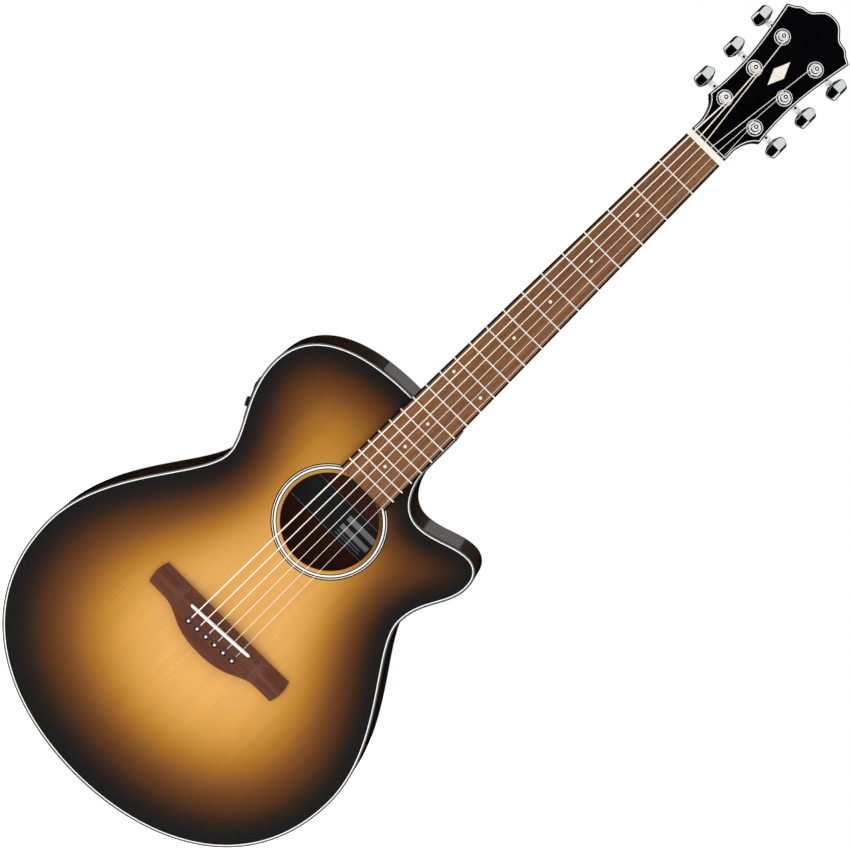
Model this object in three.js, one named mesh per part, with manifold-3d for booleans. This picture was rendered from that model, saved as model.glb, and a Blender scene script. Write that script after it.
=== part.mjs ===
// Thin single-cutaway acoustic guitar with a side preamp, in millimetres.
// The frame stands it upright: +Z runs up the neck, the soundboard faces -Y and the treble side is +X.
// The origin is on the neck's centre line at the nut line, in the plane of the soundboard's face,
// where the yoke of a wall hanger carries the guitar under the flare of its headstock.
import * as THREE from 'three';
import { mergeVertices } from 'three/addons/utils/BufferGeometryUtils.js';
import Module from 'manifold-3d';

const wasm = await Module();
wasm.setup();

// ---- driving dimensions ----
const SCALE = 634;
const FRET_COUNT = 20;
const STRING_COUNT = 6;

const NECK_JOINT_Z = -352.1;
const TAIL_Z = -836;
const NECK_FLAT = 30;
const LOWER_BOUT = { half: 187.6, z: -681.5 };
const WAIST = { half: 112.8, z: -512 };
const UPPER_BOUT = { half: 142.4, z: -421.6 };
const HORN_TIP = { x: 134.5, z: -444.3 };
const HORN_TOP = { x: 114.6, z: -422.1 };
const CUTAWAY = { x: 61.4, z: -434.2 };
const CUTAWAY_START_Z = -388;

const DEPTH_AT_NECK = 66;
const DEPTH_AT_TAIL = 80;
const BACK_DOME = 3.5;
const TOP_THICK = 2.8;
const BACK_THICK = 2.8;
const RIM_THICK = 2.4;
const BINDING_DEEP = 5.5;
const LINING = { thick: 6, deep: 12 };
const BODY_CENTRE = { x: 0, z: -600 };

const HOLE = { z: -491.6, radius: 46.7, sides: 28 };
const ROSETTE = { inner: 49.6, outer: 55.3, deep: 1 };

const NUT = { width: 42.5, length: 6, top: 7.55 };
const JOINT_WIDTH = 55;
const BOARD = { end: -446, thick: 6, crown: 400 };
const FRET = { height: 1.1, width: 2 };
const NECK_DEPTH = { nut: 15, heelStart: 17.5, heel: 61 };
const HEEL_START_Z = -300;
const HEEL_CURVE = 34;
const NECK_STATIONS = [6, 0, -100, -200, -300, -308, -316, -323, -328, -332, -334, -343, -351.8];

const HEAD_TILT = THREE.MathUtils.degToRad(14);
const HEAD = { core: 13, veneer: 2 };
const POSTS = [
  { x: 19.3, z: 40.6 },
  { x: 19.3, z: 79.3 },
  { x: 21.3, z: 118.1 },
];
const SLEEVE_END = 19.2;
const GEAR_CENTRES = 4.2;
const WORM_DEPTH = 18.5;
const BUTTON = { centre: 26.3, halfWide: 8.3, halfTall: 11.6, halfThick: 3.4 };
const BUSHING = { radius: 4.6, hole: 5.2 };
const FLANGE = { radius: 7.7, thick: 1 };
const HEX_NUT = { radius: 6.4, thick: 2 };
const POST_TOP = 13.5;

const BRIDGE = { front: -626.9, wing: -652.3, belly: -667, half: 82, thick: 8, wingThick: 3.6 };
const SADDLE = { length: 74, width: 3, z: -636.5, slant: 0.0545, top: 11.2, slotDeep: 5 };
const PIN = { z: -649.75, slant: 0.038, hole: 2.9, shaft: 2.5, head: 3.3, sides: 8 };
const SADDLE_PITCH = 11;
const NUT_PITCH = 7.1;
const STRING_RADII = [0.67, 0.53, 0.41, 0.3, 0.21, 0.17];
const WRAP = { turns: 1.5, stepsPerTurn: 8, core: 2.6, height: 6.9, clear: 0.35 };

// ---- side preamp, knobs and jack; t is the place along the bass side's curve ----
const PREAMP = { front: 15, back: 53, border: 6, half: 15.5, inside: 22, plate: 1.6, start: 0.2, end: 0.62 };
const KNOBS = {
  volume_knob: { t: 0.45, y: 29, radius: 4.8, proud: 5.8 },
  tone_knob: { t: 0.29, y: 29, radius: 3.6, proud: 3.4 },
};
const KNOB_SHAFT = { radius: 2, length: 12 };
const TUNER_BUTTON = { t: 0.37, y: 42, radius: 2.6, proud: 3.2 };
const JACK = { x: 0, y: 45, barrel: 6.2, bore: 3.25, flange: 8, length: 34, proud: 10.5 };

// ---- inside the body ----
const BRACE = { width: 8, tall: 14 };
const X_BRACE = { crossing: -566, up: 98, down: 140 };
const UPPER_BRACE = { z: -414, from: -126, to: 16, width: 14, tall: 14 };
const TONE_BAR = { from: [-64, -704], to: [84, -752], width: 7, tall: 12 };
const BRIDGE_PLATE = { half: 54, thick: 3, top: -632, bottom: -664 };
const BACK_BRACES = { back_brace_upper: [-430, -124, 20], back_brace_lower: [-640, -160, 160] };
const NECK_BLOCK = { left: -45, length: 50 };
const TAIL_BLOCK = { half: 35, length: 22 };
const LABEL = { half: 54, tall: 33.5, thick: 0.4, z: -494.8 };
const TRUSS_ROD = { radius: 3.1, length: 330, depth: 4.6, z: -185 };
const PICKUP = { half: 35, thick: 0.8, width: 2.4 };

// The clearance between neighbouring pieces.
const GAP = 0.3;

// ---- colours ----
const paint = (color, roughness, metalness = 0) =>
  new THREE.MeshStandardMaterial({ color, roughness, metalness });
const SPRUCE = paint(0xb9823a, 0.15);
const PALE_WOOD = paint(0xc9a36b, 0.7);
const DARK_WOOD = paint(0x2b1710, 0.15);
const BOARD_WOOD = paint(0x7d5a41, 0.55);
const BRIDGE_WOOD = paint(0x734637, 0.55);
const BLACK = paint(0x0b0b0b, 0.12);
const WHITE = paint(0xeae6dc, 0.4);
const CHROME = paint(0xd8d8da, 0.08, 1);
const STEEL = paint(0xc9c2b4, 0.25, 1);
const PAPER = paint(0x14161a, 0.8);

// ---- solids ----
function signedVolume(geometry) {
  const at = geometry.attributes.position;
  const index = geometry.index;
  const [a, b, c] = [new THREE.Vector3(), new THREE.Vector3(), new THREE.Vector3()];
  let six = 0;
  for (let i = 0; i < index.count; i += 3) {
    a.fromBufferAttribute(at, index.getX(i));
    b.fromBufferAttribute(at, index.getX(i + 1));
    c.fromBufferAttribute(at, index.getX(i + 2));
    six += a.dot(b.cross(c));
  }
  return six;
}

// Keeps the positions only, joins the shared corners and turns the faces outwards.
function tidy(geometry) {
  geometry.deleteAttribute('normal');
  geometry.deleteAttribute('uv');
  const merged = mergeVertices(geometry, 1e-4);
  if (signedVolume(merged) < 0) {
    const corners = merged.index.array;
    for (let i = 0; i < corners.length; i += 3) {
      [corners[i + 1], corners[i + 2]] = [corners[i + 2], corners[i + 1]];
    }
  }
  return merged;
}

function toSolid(geometry) {
  const merged = tidy(geometry.clone());
  return new wasm.Manifold(new wasm.Mesh({
    numProp: 3,
    vertProperties: new Float32Array(merged.attributes.position.array),
    triVerts: new Uint32Array(merged.index.array),
  }));
}

function fromSolid(solid) {
  const mesh = solid.getMesh();
  const geometry = new THREE.BufferGeometry();
  geometry.setAttribute('position', new THREE.BufferAttribute(new Float32Array(mesh.vertProperties), 3));
  geometry.setIndex(new THREE.BufferAttribute(new Uint32Array(mesh.triVerts), 1));
  return geometry;
}

const cut = (base, ...tools) =>
  fromSolid(tools.reduce((solid, tool) => solid.subtract(toSolid(tool)), toSolid(base)));
const join = (base, ...others) =>
  fromSolid(others.reduce((solid, other) => solid.add(toSolid(other)), toSolid(base)));
const overlap = (base, other) => fromSolid(toSolid(base).intersect(toSolid(other)));

function moveVertices(geometry, place) {
  const at = geometry.attributes.position;
  for (let i = 0; i < at.count; i += 1) {
    const p = place(at.getX(i), at.getY(i), at.getZ(i), i);
    at.setXYZ(i, p.x, p.y, p.z);
  }
  return geometry;
}

const constant = (value) => (typeof value === 'function' ? value : () => value);

// A sheet with an (x, z) outline, from the front face y = front(z) to the back face y = back(z).
function slab(shape, front, back) {
  const [y0, y1] = [constant(front), constant(back)];
  const sheet = new THREE.ExtrudeGeometry(shape, { depth: 1, bevelEnabled: false, curveSegments: 12 });
  return moveVertices(sheet, (x, z, t) => new THREE.Vector3(x, y1(z) + (y0(z) - y1(z)) * t, z));
}

function box(x0, x1, y0, y1, z0, z1) {
  const block = new THREE.BoxGeometry(x1 - x0, y1 - y0, z1 - z0);
  return block.translate((x0 + x1) / 2, (y0 + y1) / 2, (z0 + z1) / 2);
}

// A round rod along +Y from y0 to y1.
function rodY(radius, y0, y1, x = 0, z = 0, sides = 14) {
  return new THREE.CylinderGeometry(radius, radius, y1 - y0, sides).translate(x, (y0 + y1) / 2, z);
}

function rodX(radius, x0, x1, y = 0, z = 0, sides = 14) {
  return new THREE.CylinderGeometry(radius, radius, x1 - x0, sides)
    .rotateZ(Math.PI / 2)
    .translate((x0 + x1) / 2, y, z);
}

// A section carried through a row of stations: place(x, y, k) puts the section's point at station k.
function loft(section, stations, place) {
  const run = new THREE.ExtrudeGeometry(new THREE.Shape(section), {
    depth: stations - 1,
    steps: stations - 1,
    bevelEnabled: false,
  });
  return moveVertices(run, (x, y, z) => place(x, y, Math.round(z)));
}

function polygon(sides, radius) {
  return Array.from({ length: sides }, (_, i) => {
    const angle = (2 * Math.PI * i) / sides;
    return new THREE.Vector2(radius * Math.cos(angle), radius * Math.sin(angle));
  });
}

function lathe(points, sides) {
  return new THREE.LatheGeometry(points.map(([r, y]) => new THREE.Vector2(r, y)), sides);
}

function piece(parent, name, geometry, material, x = 0, y = 0, z = 0) {
  const mesh = new THREE.Mesh(tidy(geometry), material);
  mesh.name = name;
  mesh.position.set(x, y, z);
  parent.add(mesh);
  return mesh;
}

// ---- outline of the body ----
const outline = new THREE.Shape();
outline.moveTo(0, TAIL_Z);
outline.bezierCurveTo(100, TAIL_Z, LOWER_BOUT.half, LOWER_BOUT.z - 104, LOWER_BOUT.half, LOWER_BOUT.z);
outline.bezierCurveTo(LOWER_BOUT.half, LOWER_BOUT.z + 75.5, WAIST.half, WAIST.z - 33.5, WAIST.half, WAIST.z);
outline.bezierCurveTo(WAIST.half, WAIST.z + 29.6, HORN_TIP.x, HORN_TIP.z - 24.8, HORN_TIP.x, HORN_TIP.z);
outline.bezierCurveTo(HORN_TIP.x, HORN_TIP.z + 13.4, HORN_TOP.x + 12.6, HORN_TOP.z, HORN_TOP.x, HORN_TOP.z);
outline.bezierCurveTo(HORN_TOP.x - 18.1, HORN_TOP.z, CUTAWAY.x + 18.9, CUTAWAY.z, CUTAWAY.x, CUTAWAY.z);
outline.bezierCurveTo(CUTAWAY.x - 22.4, CUTAWAY.z, NECK_FLAT, CUTAWAY_START_Z - 20.7,
  NECK_FLAT, CUTAWAY_START_Z);
outline.lineTo(NECK_FLAT, NECK_JOINT_Z);
outline.lineTo(-NECK_FLAT, NECK_JOINT_Z);
outline.bezierCurveTo(-NECK_FLAT - 67.8, NECK_JOINT_Z, -UPPER_BOUT.half, UPPER_BOUT.z + 46.8,
  -UPPER_BOUT.half, UPPER_BOUT.z);
outline.bezierCurveTo(-UPPER_BOUT.half, UPPER_BOUT.z - 40.3, -WAIST.half, WAIST.z + 22.6,
  -WAIST.half, WAIST.z);
outline.bezierCurveTo(-WAIST.half, WAIST.z - 33.5, -LOWER_BOUT.half, LOWER_BOUT.z + 75.5,
  -LOWER_BOUT.half, LOWER_BOUT.z);
outline.bezierCurveTo(-LOWER_BOUT.half, LOWER_BOUT.z - 104, -100, TAIL_Z, 0, TAIL_Z);

const OUTLINE_STEPS = [8, 7, 5, 5, 5, 5, 1, 1, 8, 6, 7, 8];
const BASS_WAIST_CURVE = 9;
const edge = outline.curves.flatMap((curve, i) => curve.getPoints(OUTLINE_STEPS[i]).slice(0, -1));

// Moves a closed outline inwards by the same distance everywhere, with mitred corners.
function inset(points, distance) {
  const count = points.length;
  return points.map((point, i) => {
    const before = point.clone().sub(points[(i + count - 1) % count]).normalize();
    const after = points[(i + 1) % count].clone().sub(point).normalize();
    const normals = [before, after].map((way) => new THREE.Vector2(-way.y, way.x));
    const sum = normals[0].clone().add(normals[1]);
    return point.clone().addScaledVector(sum, distance / (1 + normals[0].dot(normals[1])));
  });
}

const innerEdge = inset(edge, RIM_THICK);
const liningEdge = inset(edge, RIM_THICK + LINING.thick);

function ringShape(outer, inner) {
  const shape = new THREE.Shape(outer);
  shape.holes.push(new THREE.Path(inner));
  return shape;
}

const backDepth = (z) => THREE.MathUtils.mapLinear(z, NECK_JOINT_Z, TAIL_Z, DEPTH_AT_NECK, DEPTH_AT_TAIL);
const backLevel = (offset) => (z) => backDepth(z) + offset;
const backTilt = Math.atan2(DEPTH_AT_TAIL - DEPTH_AT_NECK, NECK_JOINT_Z - TAIL_Z);

const pinZ = (x) => PIN.z + PIN.slant * x;
const saddleZ = (x) => SADDLE.z + Math.tan(SADDLE.slant) * x;
const stringAtSaddle = (i) => (i - (STRING_COUNT - 1) / 2) * SADDLE_PITCH;
const stringAtNut = (i) => (i - (STRING_COUNT - 1) / 2) * NUT_PITCH;
const strings = [...Array(STRING_COUNT).keys()];
const pinHoles = () => strings.map((i) => {
  const x = stringAtSaddle(i);
  return rodY(PIN.hole, -2 * BRIDGE.thick, 2 * BRIDGE.thick, x, pinZ(x), PIN.sides);
});

// ---- body shell ----
function soundboard() {
  const shape = new THREE.Shape(innerEdge);
  const hole = polygon(HOLE.sides, HOLE.radius).map((p) => p.add(new THREE.Vector2(0, HOLE.z)));
  shape.holes.push(new THREE.Path(hole));
  const groove = lathe([
    [ROSETTE.inner - GAP, -1],
    [ROSETTE.outer + GAP, -1],
    [ROSETTE.outer + GAP, ROSETTE.deep],
    [ROSETTE.inner - GAP, ROSETTE.deep],
    [ROSETTE.inner - GAP, -1],
  ], HOLE.sides).translate(0, 0, HOLE.z);
  return cut(slab(shape, 0, TOP_THICK), groove, ...pinHoles());
}

function rosette() {
  return lathe([
    [ROSETTE.inner, 0],
    [ROSETTE.outer, 0],
    [ROSETTE.outer, ROSETTE.deep - 0.1],
    [ROSETTE.inner, ROSETTE.deep - 0.1],
    [ROSETTE.inner, 0],
  ], HOLE.sides);
}

// The back is a round disc stretched to the outline, with a shallow dome that ends at the rim.
function backPlate() {
  const radii = [0, 0.5, 0.82, 1];
  const profile = [...radii.map((r) => [r, 0]), ...radii.toReversed().map((r) => [r, 1])];
  const disc = lathe(profile, innerEdge.length);
  return moveVertices(disc, (_x, t, _z, i) => {
    const rimPoint = innerEdge[Math.floor(i / profile.length) % innerEdge.length];
    const r = profile[i % profile.length][0];
    const x = BODY_CENTRE.x + r * (rimPoint.x - BODY_CENTRE.x);
    const z = BODY_CENTRE.z + r * (rimPoint.y - BODY_CENTRE.z);
    return new THREE.Vector3(x, backDepth(z) + BACK_DOME * (1 - r * r) - BACK_THICK * (1 - t), z);
  });
}

function preampWindow(clearance) {
  return box(
    -PREAMP.half - clearance, PREAMP.half + clearance,
    PREAMP.front + PREAMP.border - clearance, PREAMP.back - PREAMP.border + clearance,
    -PREAMP.inside - clearance, PREAMP.inside + clearance,
  );
}

function jackHole(radius) {
  return new THREE.CylinderGeometry(radius, radius, 80, 16)
    .rotateX(Math.PI / 2)
    .translate(JACK.x, JACK.y, TAIL_Z);
}

function sideRim() {
  const walls = slab(ringShape(edge, innerEdge), BINDING_DEEP, backLevel(-BINDING_DEEP));
  const window = preampWindow(GAP).applyMatrix4(preampPlace.matrix);
  return cut(walls, window, jackHole(JACK.barrel + GAP));
}

// ---- side preamp: a plate on the bass side of the upper bout, with its case inside the body ----
const bassWaist = outline.curves[BASS_WAIST_CURVE];

// A frame on the bass side at parameter t of its curve: its own +Z points out of the body.
function sidePlace(t) {
  const at = bassWaist.getPoint(t);
  const way = bassWaist.getTangent(t);
  const place = new THREE.Group();
  place.position.set(at.x, 0, at.y);
  place.rotation.y = Math.atan2(way.y, -way.x);
  place.updateMatrix();
  return place;
}

const preampPlace = sidePlace((PREAMP.start + PREAMP.end) / 2);

function preamp(holes) {
  const steps = 8;
  const stations = Array.from({ length: steps + 1 }, (_, k) =>
    PREAMP.start + ((PREAMP.end - PREAMP.start) * k) / steps);
  const offsetPoint = (t, distance) => {
    const at = bassWaist.getPoint(t);
    const way = bassWaist.getTangent(t);
    return new THREE.Vector2(at.x + way.y * distance, at.y - way.x * distance);
  };
  const shape = new THREE.Shape([
    ...stations.map((t) => offsetPoint(t, GAP)),
    ...stations.toReversed().map((t) => offsetPoint(t, GAP + PREAMP.plate)),
  ]);
  const plate = slab(shape, PREAMP.front, PREAMP.back);
  const caseBlock = box(
    -PREAMP.half, PREAMP.half,
    PREAMP.front + PREAMP.border, PREAMP.back - PREAMP.border,
    -PREAMP.inside, PREAMP.plate / 2,
  ).applyMatrix4(preampPlace.matrix);
  return cut(join(plate, caseBlock), ...holes);
}

function knobHole(control, radius) {
  return new THREE.CylinderGeometry(radius, radius, 30, 14)
    .rotateX(Math.PI / 2)
    .translate(0, control.y, 0)
    .applyMatrix4(sidePlace(control.t).matrix);
}

function knob(radius, proud) {
  const foot = GAP + PREAMP.plate + GAP;
  return lathe([
    [0, -KNOB_SHAFT.length],
    [KNOB_SHAFT.radius, -KNOB_SHAFT.length],
    [KNOB_SHAFT.radius, foot],
    [radius, foot],
    [radius, proud - 0.8],
    [radius - 0.8, proud],
    [0, proud],
  ], 16).rotateX(Math.PI / 2);
}

function pushButton() {
  return lathe([
    [0, -8],
    [TUNER_BUTTON.radius, -8],
    [TUNER_BUTTON.radius, TUNER_BUTTON.proud],
    [0, TUNER_BUTTON.proud],
  ], 10).rotateX(Math.PI / 2);
}

// An end-pin jack that is also the strap button: a bored barrel with a waisted collar outside.
function outputJack() {
  return lathe([
    [JACK.bore, -JACK.length],
    [JACK.barrel, -JACK.length],
    [JACK.barrel, GAP],
    [JACK.flange, GAP],
    [JACK.flange, 3],
    [JACK.flange - 2.6, 4.5],
    [JACK.flange - 2.6, 6.8],
    [JACK.flange - 0.4, 8.8],
    [JACK.flange - 0.4, JACK.proud],
    [JACK.bore, JACK.proud],
    [JACK.bore, -JACK.length],
  ], 16).rotateX(-Math.PI / 2);
}

// ---- inside the body ----
function lining(front, back) {
  return slab(ringShape(innerEdge, liningEdge), front, back);
}

const frontLining = () => lining(TOP_THICK, TOP_THICK + LINING.deep);
const backLining = () => lining(backLevel(-BACK_THICK - LINING.deep), backLevel(-BACK_THICK));

function roomForLinings() {
  const ring = ringShape(inset(edge, 0), inset(liningEdge, GAP));
  return [
    slab(ring, -1, TOP_THICK + LINING.deep + GAP),
    slab(ring, backLevel(-BACK_THICK - LINING.deep - GAP), backLevel(1)),
  ];
}

function block(x0, x1, z0, z1, ...holes) {
  const inner = slab(new THREE.Shape(inset(edge, RIM_THICK + GAP)), TOP_THICK, backLevel(-BACK_THICK));
  const wood = overlap(inner, box(x0, x1, 0, DEPTH_AT_TAIL, z0, z1));
  return cut(wood, ...roomForLinings(), ...holes);
}

const neckBlock = () =>
  block(NECK_BLOCK.left, NECK_FLAT, NECK_JOINT_Z - NECK_BLOCK.length, NECK_JOINT_Z);
const tailBlock = () =>
  block(-TAIL_BLOCK.half, TAIL_BLOCK.half, TAIL_Z, TAIL_Z + TAIL_BLOCK.length, jackHole(JACK.barrel + GAP));

// A tapered wooden bar on the soundboard between two (x, z) points.
function topBrace(from, to, width, tall) {
  const length = from.distanceTo(to);
  const scoop = Math.min(40, length / 4);
  const side = new THREE.Shape([
    [-length / 2, 0], [length / 2, 0], [length / 2, tall / 4], [length / 2 - scoop, tall],
    [scoop - length / 2, tall], [-length / 2, tall / 4],
  ].map((p) => new THREE.Vector2(...p)));
  const bar = new THREE.ExtrudeGeometry(side, { depth: width, bevelEnabled: false });
  const middle = from.clone().add(to).multiplyScalar(0.5);
  return bar
    .translate(0, 0, -width / 2)
    .rotateY(-Math.atan2(to.y - from.y, to.x - from.x))
    .translate(middle.x, TOP_THICK, middle.y);
}

function xBrace() {
  const arms = [1, -1].map((side) => topBrace(
    new THREE.Vector2(side * X_BRACE.up, X_BRACE.crossing + X_BRACE.up),
    new THREE.Vector2(-side * X_BRACE.down, X_BRACE.crossing - X_BRACE.down),
    BRACE.width, BRACE.tall,
  ));
  return join(...arms);
}

// A bar across the inside of the back, its glued edge arched to the dome.
function backBrace(z, x0, x1) {
  const steps = 6;
  const reach = (x) => {
    const r = Math.hypot(x, z - BODY_CENTRE.z) / LOWER_BOUT.half;
    return BACK_DOME * Math.max(0, 1 - r * r);
  };
  const xs = Array.from({ length: steps + 1 }, (_, i) => x0 + ((x1 - x0) * i) / steps);
  const shape = new THREE.Shape([
    ...xs.map((x) => new THREE.Vector2(x, Math.max(0, reach(x) - 1))),
    new THREE.Vector2(x1, -4),
    new THREE.Vector2(x1 - 30, -BRACE.tall),
    new THREE.Vector2(x0 + 30, -BRACE.tall),
    new THREE.Vector2(x0, -4),
  ]);
  const bar = new THREE.ExtrudeGeometry(shape, { depth: BRACE.width, bevelEnabled: false });
  return bar.translate(0, backDepth(z + BRACE.width / 2) - BACK_THICK - GAP, z - BRACE.width / 2);
}

// ---- neck, headstock and fingerboard ----
const boardWidth = (z) =>
  THREE.MathUtils.mapLinear(Math.min(z, 0), 0, NECK_JOINT_Z, NUT.width, JOINT_WIDTH);
const crownDrop = (x) => (x * x) / (2 * BOARD.crown);
const fretZ = (n) => -SCALE * (1 - 2 ** (-n / 12));

const headFrame = new THREE.Group();
headFrame.position.set(0, 0, NUT.length);
headFrame.rotation.x = -HEAD_TILT;
headFrame.updateMatrix();

function headOutline() {
  const half = [
    (shape) => shape.moveTo(0, 165.2),
    (shape, m) => shape.bezierCurveTo(m * 6, 165.2, m * 9.5, 163.2, m * 12, 160.6),
    (shape, m) => shape.bezierCurveTo(m * 16, 156.6, m * 17.5, 153.2, m * 22, 152.6),
    (shape, m) => shape.bezierCurveTo(m * 27, 152, m * 29, 151.4, m * 31.5, 148.6),
    (shape, m) => shape.bezierCurveTo(m * 33.5, 146.4, m * 36.5, 145.8, m * 39.8, 143.6),
    (shape, m) => shape.bezierCurveTo(m * 36.5, 125, m * 31, 98, m * 30.4, 72),
    (shape, m) => shape.bezierCurveTo(m * 30.2, 58, m * 30.6, 46, m * 32.4, 34.2),
    (shape, m) => shape.bezierCurveTo(m * 26, 30.5, m * 22.4, 24, m * 20.6, 11),
    (shape, m) => shape.lineTo(m * 21.2, 0),
  ];
  const sidePoints = (m) => {
    const shape = new THREE.Shape();
    half.forEach((draw) => draw(shape, m));
    return shape.curves.flatMap((curve) => curve.getPoints(curve.isLineCurve ? 1 : 3).slice(0, -1));
  };
  const right = sidePoints(1);
  const left = sidePoints(-1).slice(1).toReversed();
  return [...right, new THREE.Vector2(21.2, 0), new THREE.Vector2(-21.2, 0), ...left];
}

const posts = [-1, 1].flatMap((side) => POSTS.map((post) => ({ side, x: side * post.x, z: post.z })));
const bushingHoles = () => posts.map((post) => rodY(BUSHING.hole, -8, 20, post.x, post.z, 8));

function neckDepth(z) {
  const { nut: atNut, heelStart, heel } = NECK_DEPTH;
  const t = THREE.MathUtils.clamp((HEEL_START_Z - z) / HEEL_CURVE, 0, 1);
  if (t === 0) {
    return THREE.MathUtils.mapLinear(Math.min(z, 0), 0, HEEL_START_Z, atNut, heelStart);
  }
  return heelStart + (heel - heelStart) * (1 - Math.sqrt(1 - t * t));
}

function neck() {
  const section = Array.from({ length: 13 }, (_, i) => {
    const angle = (Math.PI * i) / 12;
    return new THREE.Vector2(Math.cos(angle), Math.sin(angle) ** 0.85);
  });
  const shaft = loft(section, NECK_STATIONS.length, (x, y, k) => {
    const z = NECK_STATIONS[k];
    return new THREE.Vector3((x * boardWidth(z)) / 2, y * neckDepth(z), z);
  });
  const core = slab(new THREE.Shape(headOutline()), GAP, HEAD.core).applyMatrix4(headFrame.matrix);
  const channel = box(-3.4, 3.4, -1, 8.6, -360, -14);
  const holes = bushingHoles().map((hole) => hole.applyMatrix4(headFrame.matrix));
  return cut(join(shaft, core), channel, ...holes);
}

function veneer() {
  const face = new THREE.Shape(headOutline().map((p) => new THREE.Vector2(p.x, Math.max(p.y, GAP))));
  return cut(slab(face, -HEAD.veneer, 0), ...bushingHoles());
}

// The crowned board and its frets, which are hammered into its slots.
function fingerboard() {
  const arc = 4;
  const across = (half, low, rise) => [
    new THREE.Vector2(half, low),
    ...Array.from({ length: arc + 1 }, (_, i) => {
      const x = half - (2 * half * i) / arc;
      return new THREE.Vector2(x, crownDrop(x) - BOARD.thick - rise);
    }),
    new THREE.Vector2(-half, low),
  ];
  const ends = [0, BOARD.end];
  const start = across(boardWidth(0) / 2, 0, 0);
  const finish = across(boardWidth(BOARD.end) / 2, 0, 0);
  const board = loft(start, 2, (x, y, k) => {
    const i = start.findIndex((p) => Math.abs(p.x - x) < 1e-4 && Math.abs(p.y - y) < 1e-4);
    const p = k === 0 ? start[i] : finish[i];
    return new THREE.Vector3(p.x, p.y, ends[k]);
  });
  const frets = Array.from({ length: FRET_COUNT }, (_, i) => {
    const z = fretZ(i + 1);
    const shape = new THREE.Shape(across(boardWidth(z) / 2 - 0.15, 1 - BOARD.thick, FRET.height));
    const bar = new THREE.ExtrudeGeometry(shape, { depth: FRET.width, bevelEnabled: false });
    return bar.translate(0, 0, z - FRET.width / 2);
  });
  return join(board, ...frets);
}

function nut() {
  const half = NUT.width / 2;
  const shape = new THREE.Shape([
    new THREE.Vector2(half, 0),
    ...[1, 0.5, 0, -0.5, -1].map((u) => new THREE.Vector2(u * half, crownDrop(u * half) - NUT.top)),
    new THREE.Vector2(-half, 0),
  ]);
  return new THREE.ExtrudeGeometry(shape, { depth: NUT.length, bevelEnabled: false });
}

// ---- bridge ----
function bridge() {
  const shape = new THREE.Shape();
  const { half, front, wing, belly, thick, wingThick } = BRIDGE;
  const end = half - 2.5;
  const bulge = (half - end / 4) / 0.75;
  shape.moveTo(end, front);
  shape.lineTo(-end, front);
  shape.bezierCurveTo(-bulge, front - 8, -bulge, wing + 8, -end, wing);
  shape.lineTo(-58, wing);
  shape.bezierCurveTo(-40, wing, -36, belly, 0, belly);
  shape.bezierCurveTo(36, belly, 40, wing, 58, wing);
  shape.lineTo(end, wing);
  shape.bezierCurveTo(bulge, wing + 8, bulge, front - 8, end, front);
  const points = shape.curves.flatMap((curve) =>
    curve.getPoints(curve.isLineCurve ? 1 : 5).slice(0, -1));
  const profile = new THREE.Shape([
    [-half - 1, 0],
    [half + 1, 0],
    [half + 1, -wingThick],
    [62, -wingThick - 0.6],
    [46, -thick],
    [-46, -thick],
    [-62, -wingThick - 0.6],
    [-half - 1, -wingThick],
  ].map((p) => new THREE.Vector2(...p)));
  const bar = new THREE.ExtrudeGeometry(profile, { depth: 60, bevelEnabled: false });
  const body = overlap(slab(new THREE.Shape(points), -thick - 1, 0), bar.translate(0, 0, belly - 5));
  const slot = box(
    -SADDLE.length / 2 - GAP, SADDLE.length / 2 + GAP,
    -thick - 1.5, SADDLE.slotDeep - thick,
    -SADDLE.width / 2 - GAP, SADDLE.width / 2 + GAP,
  ).rotateY(-SADDLE.slant).translate(0, 0, SADDLE.z);
  const ramps = strings.map((i) => {
    const x = stringAtSaddle(i);
    return box(x - 0.95, x + 0.95, -thick - 1, -5.9, pinZ(x), pinZ(x) + 7.2);
  });
  return cut(body, slot, ...pinHoles(), ...ramps);
}

function saddle() {
  const half = SADDLE.length / 2;
  const low = SADDLE.slotDeep - BRIDGE.thick - 1.2;
  const end = crownDrop(half) - SADDLE.top + 0.9;
  const crest = [0.92, 0.46, 0, -0.46, -0.92].map((u) =>
    new THREE.Vector2(u * half, crownDrop(u * half) - SADDLE.top));
  const shape = new THREE.Shape([
    new THREE.Vector2(half, low),
    new THREE.Vector2(half, end),
    ...crest,
    new THREE.Vector2(-half, end),
    new THREE.Vector2(-half, low),
  ]);
  const bar = new THREE.ExtrudeGeometry(shape, { depth: SADDLE.width, bevelEnabled: false });
  return bar.translate(0, 0, -SADDLE.width / 2);
}

function bridgePin() {
  const body = lathe([
    [0, 20],
    [2, 20],
    [PIN.shaft, 0],
    [PIN.shaft, -BRIDGE.thick - 0.1],
    [PIN.head, -BRIDGE.thick - 0.1],
    [PIN.head, -BRIDGE.thick - 1.2],
    [2, -BRIDGE.thick - 2.4],
    [0, -BRIDGE.thick - 2.6],
  ], PIN.sides);
  return cut(body, box(-0.85, 0.85, -BRIDGE.thick - 0.05, 21, 0.9, 4));
}

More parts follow.
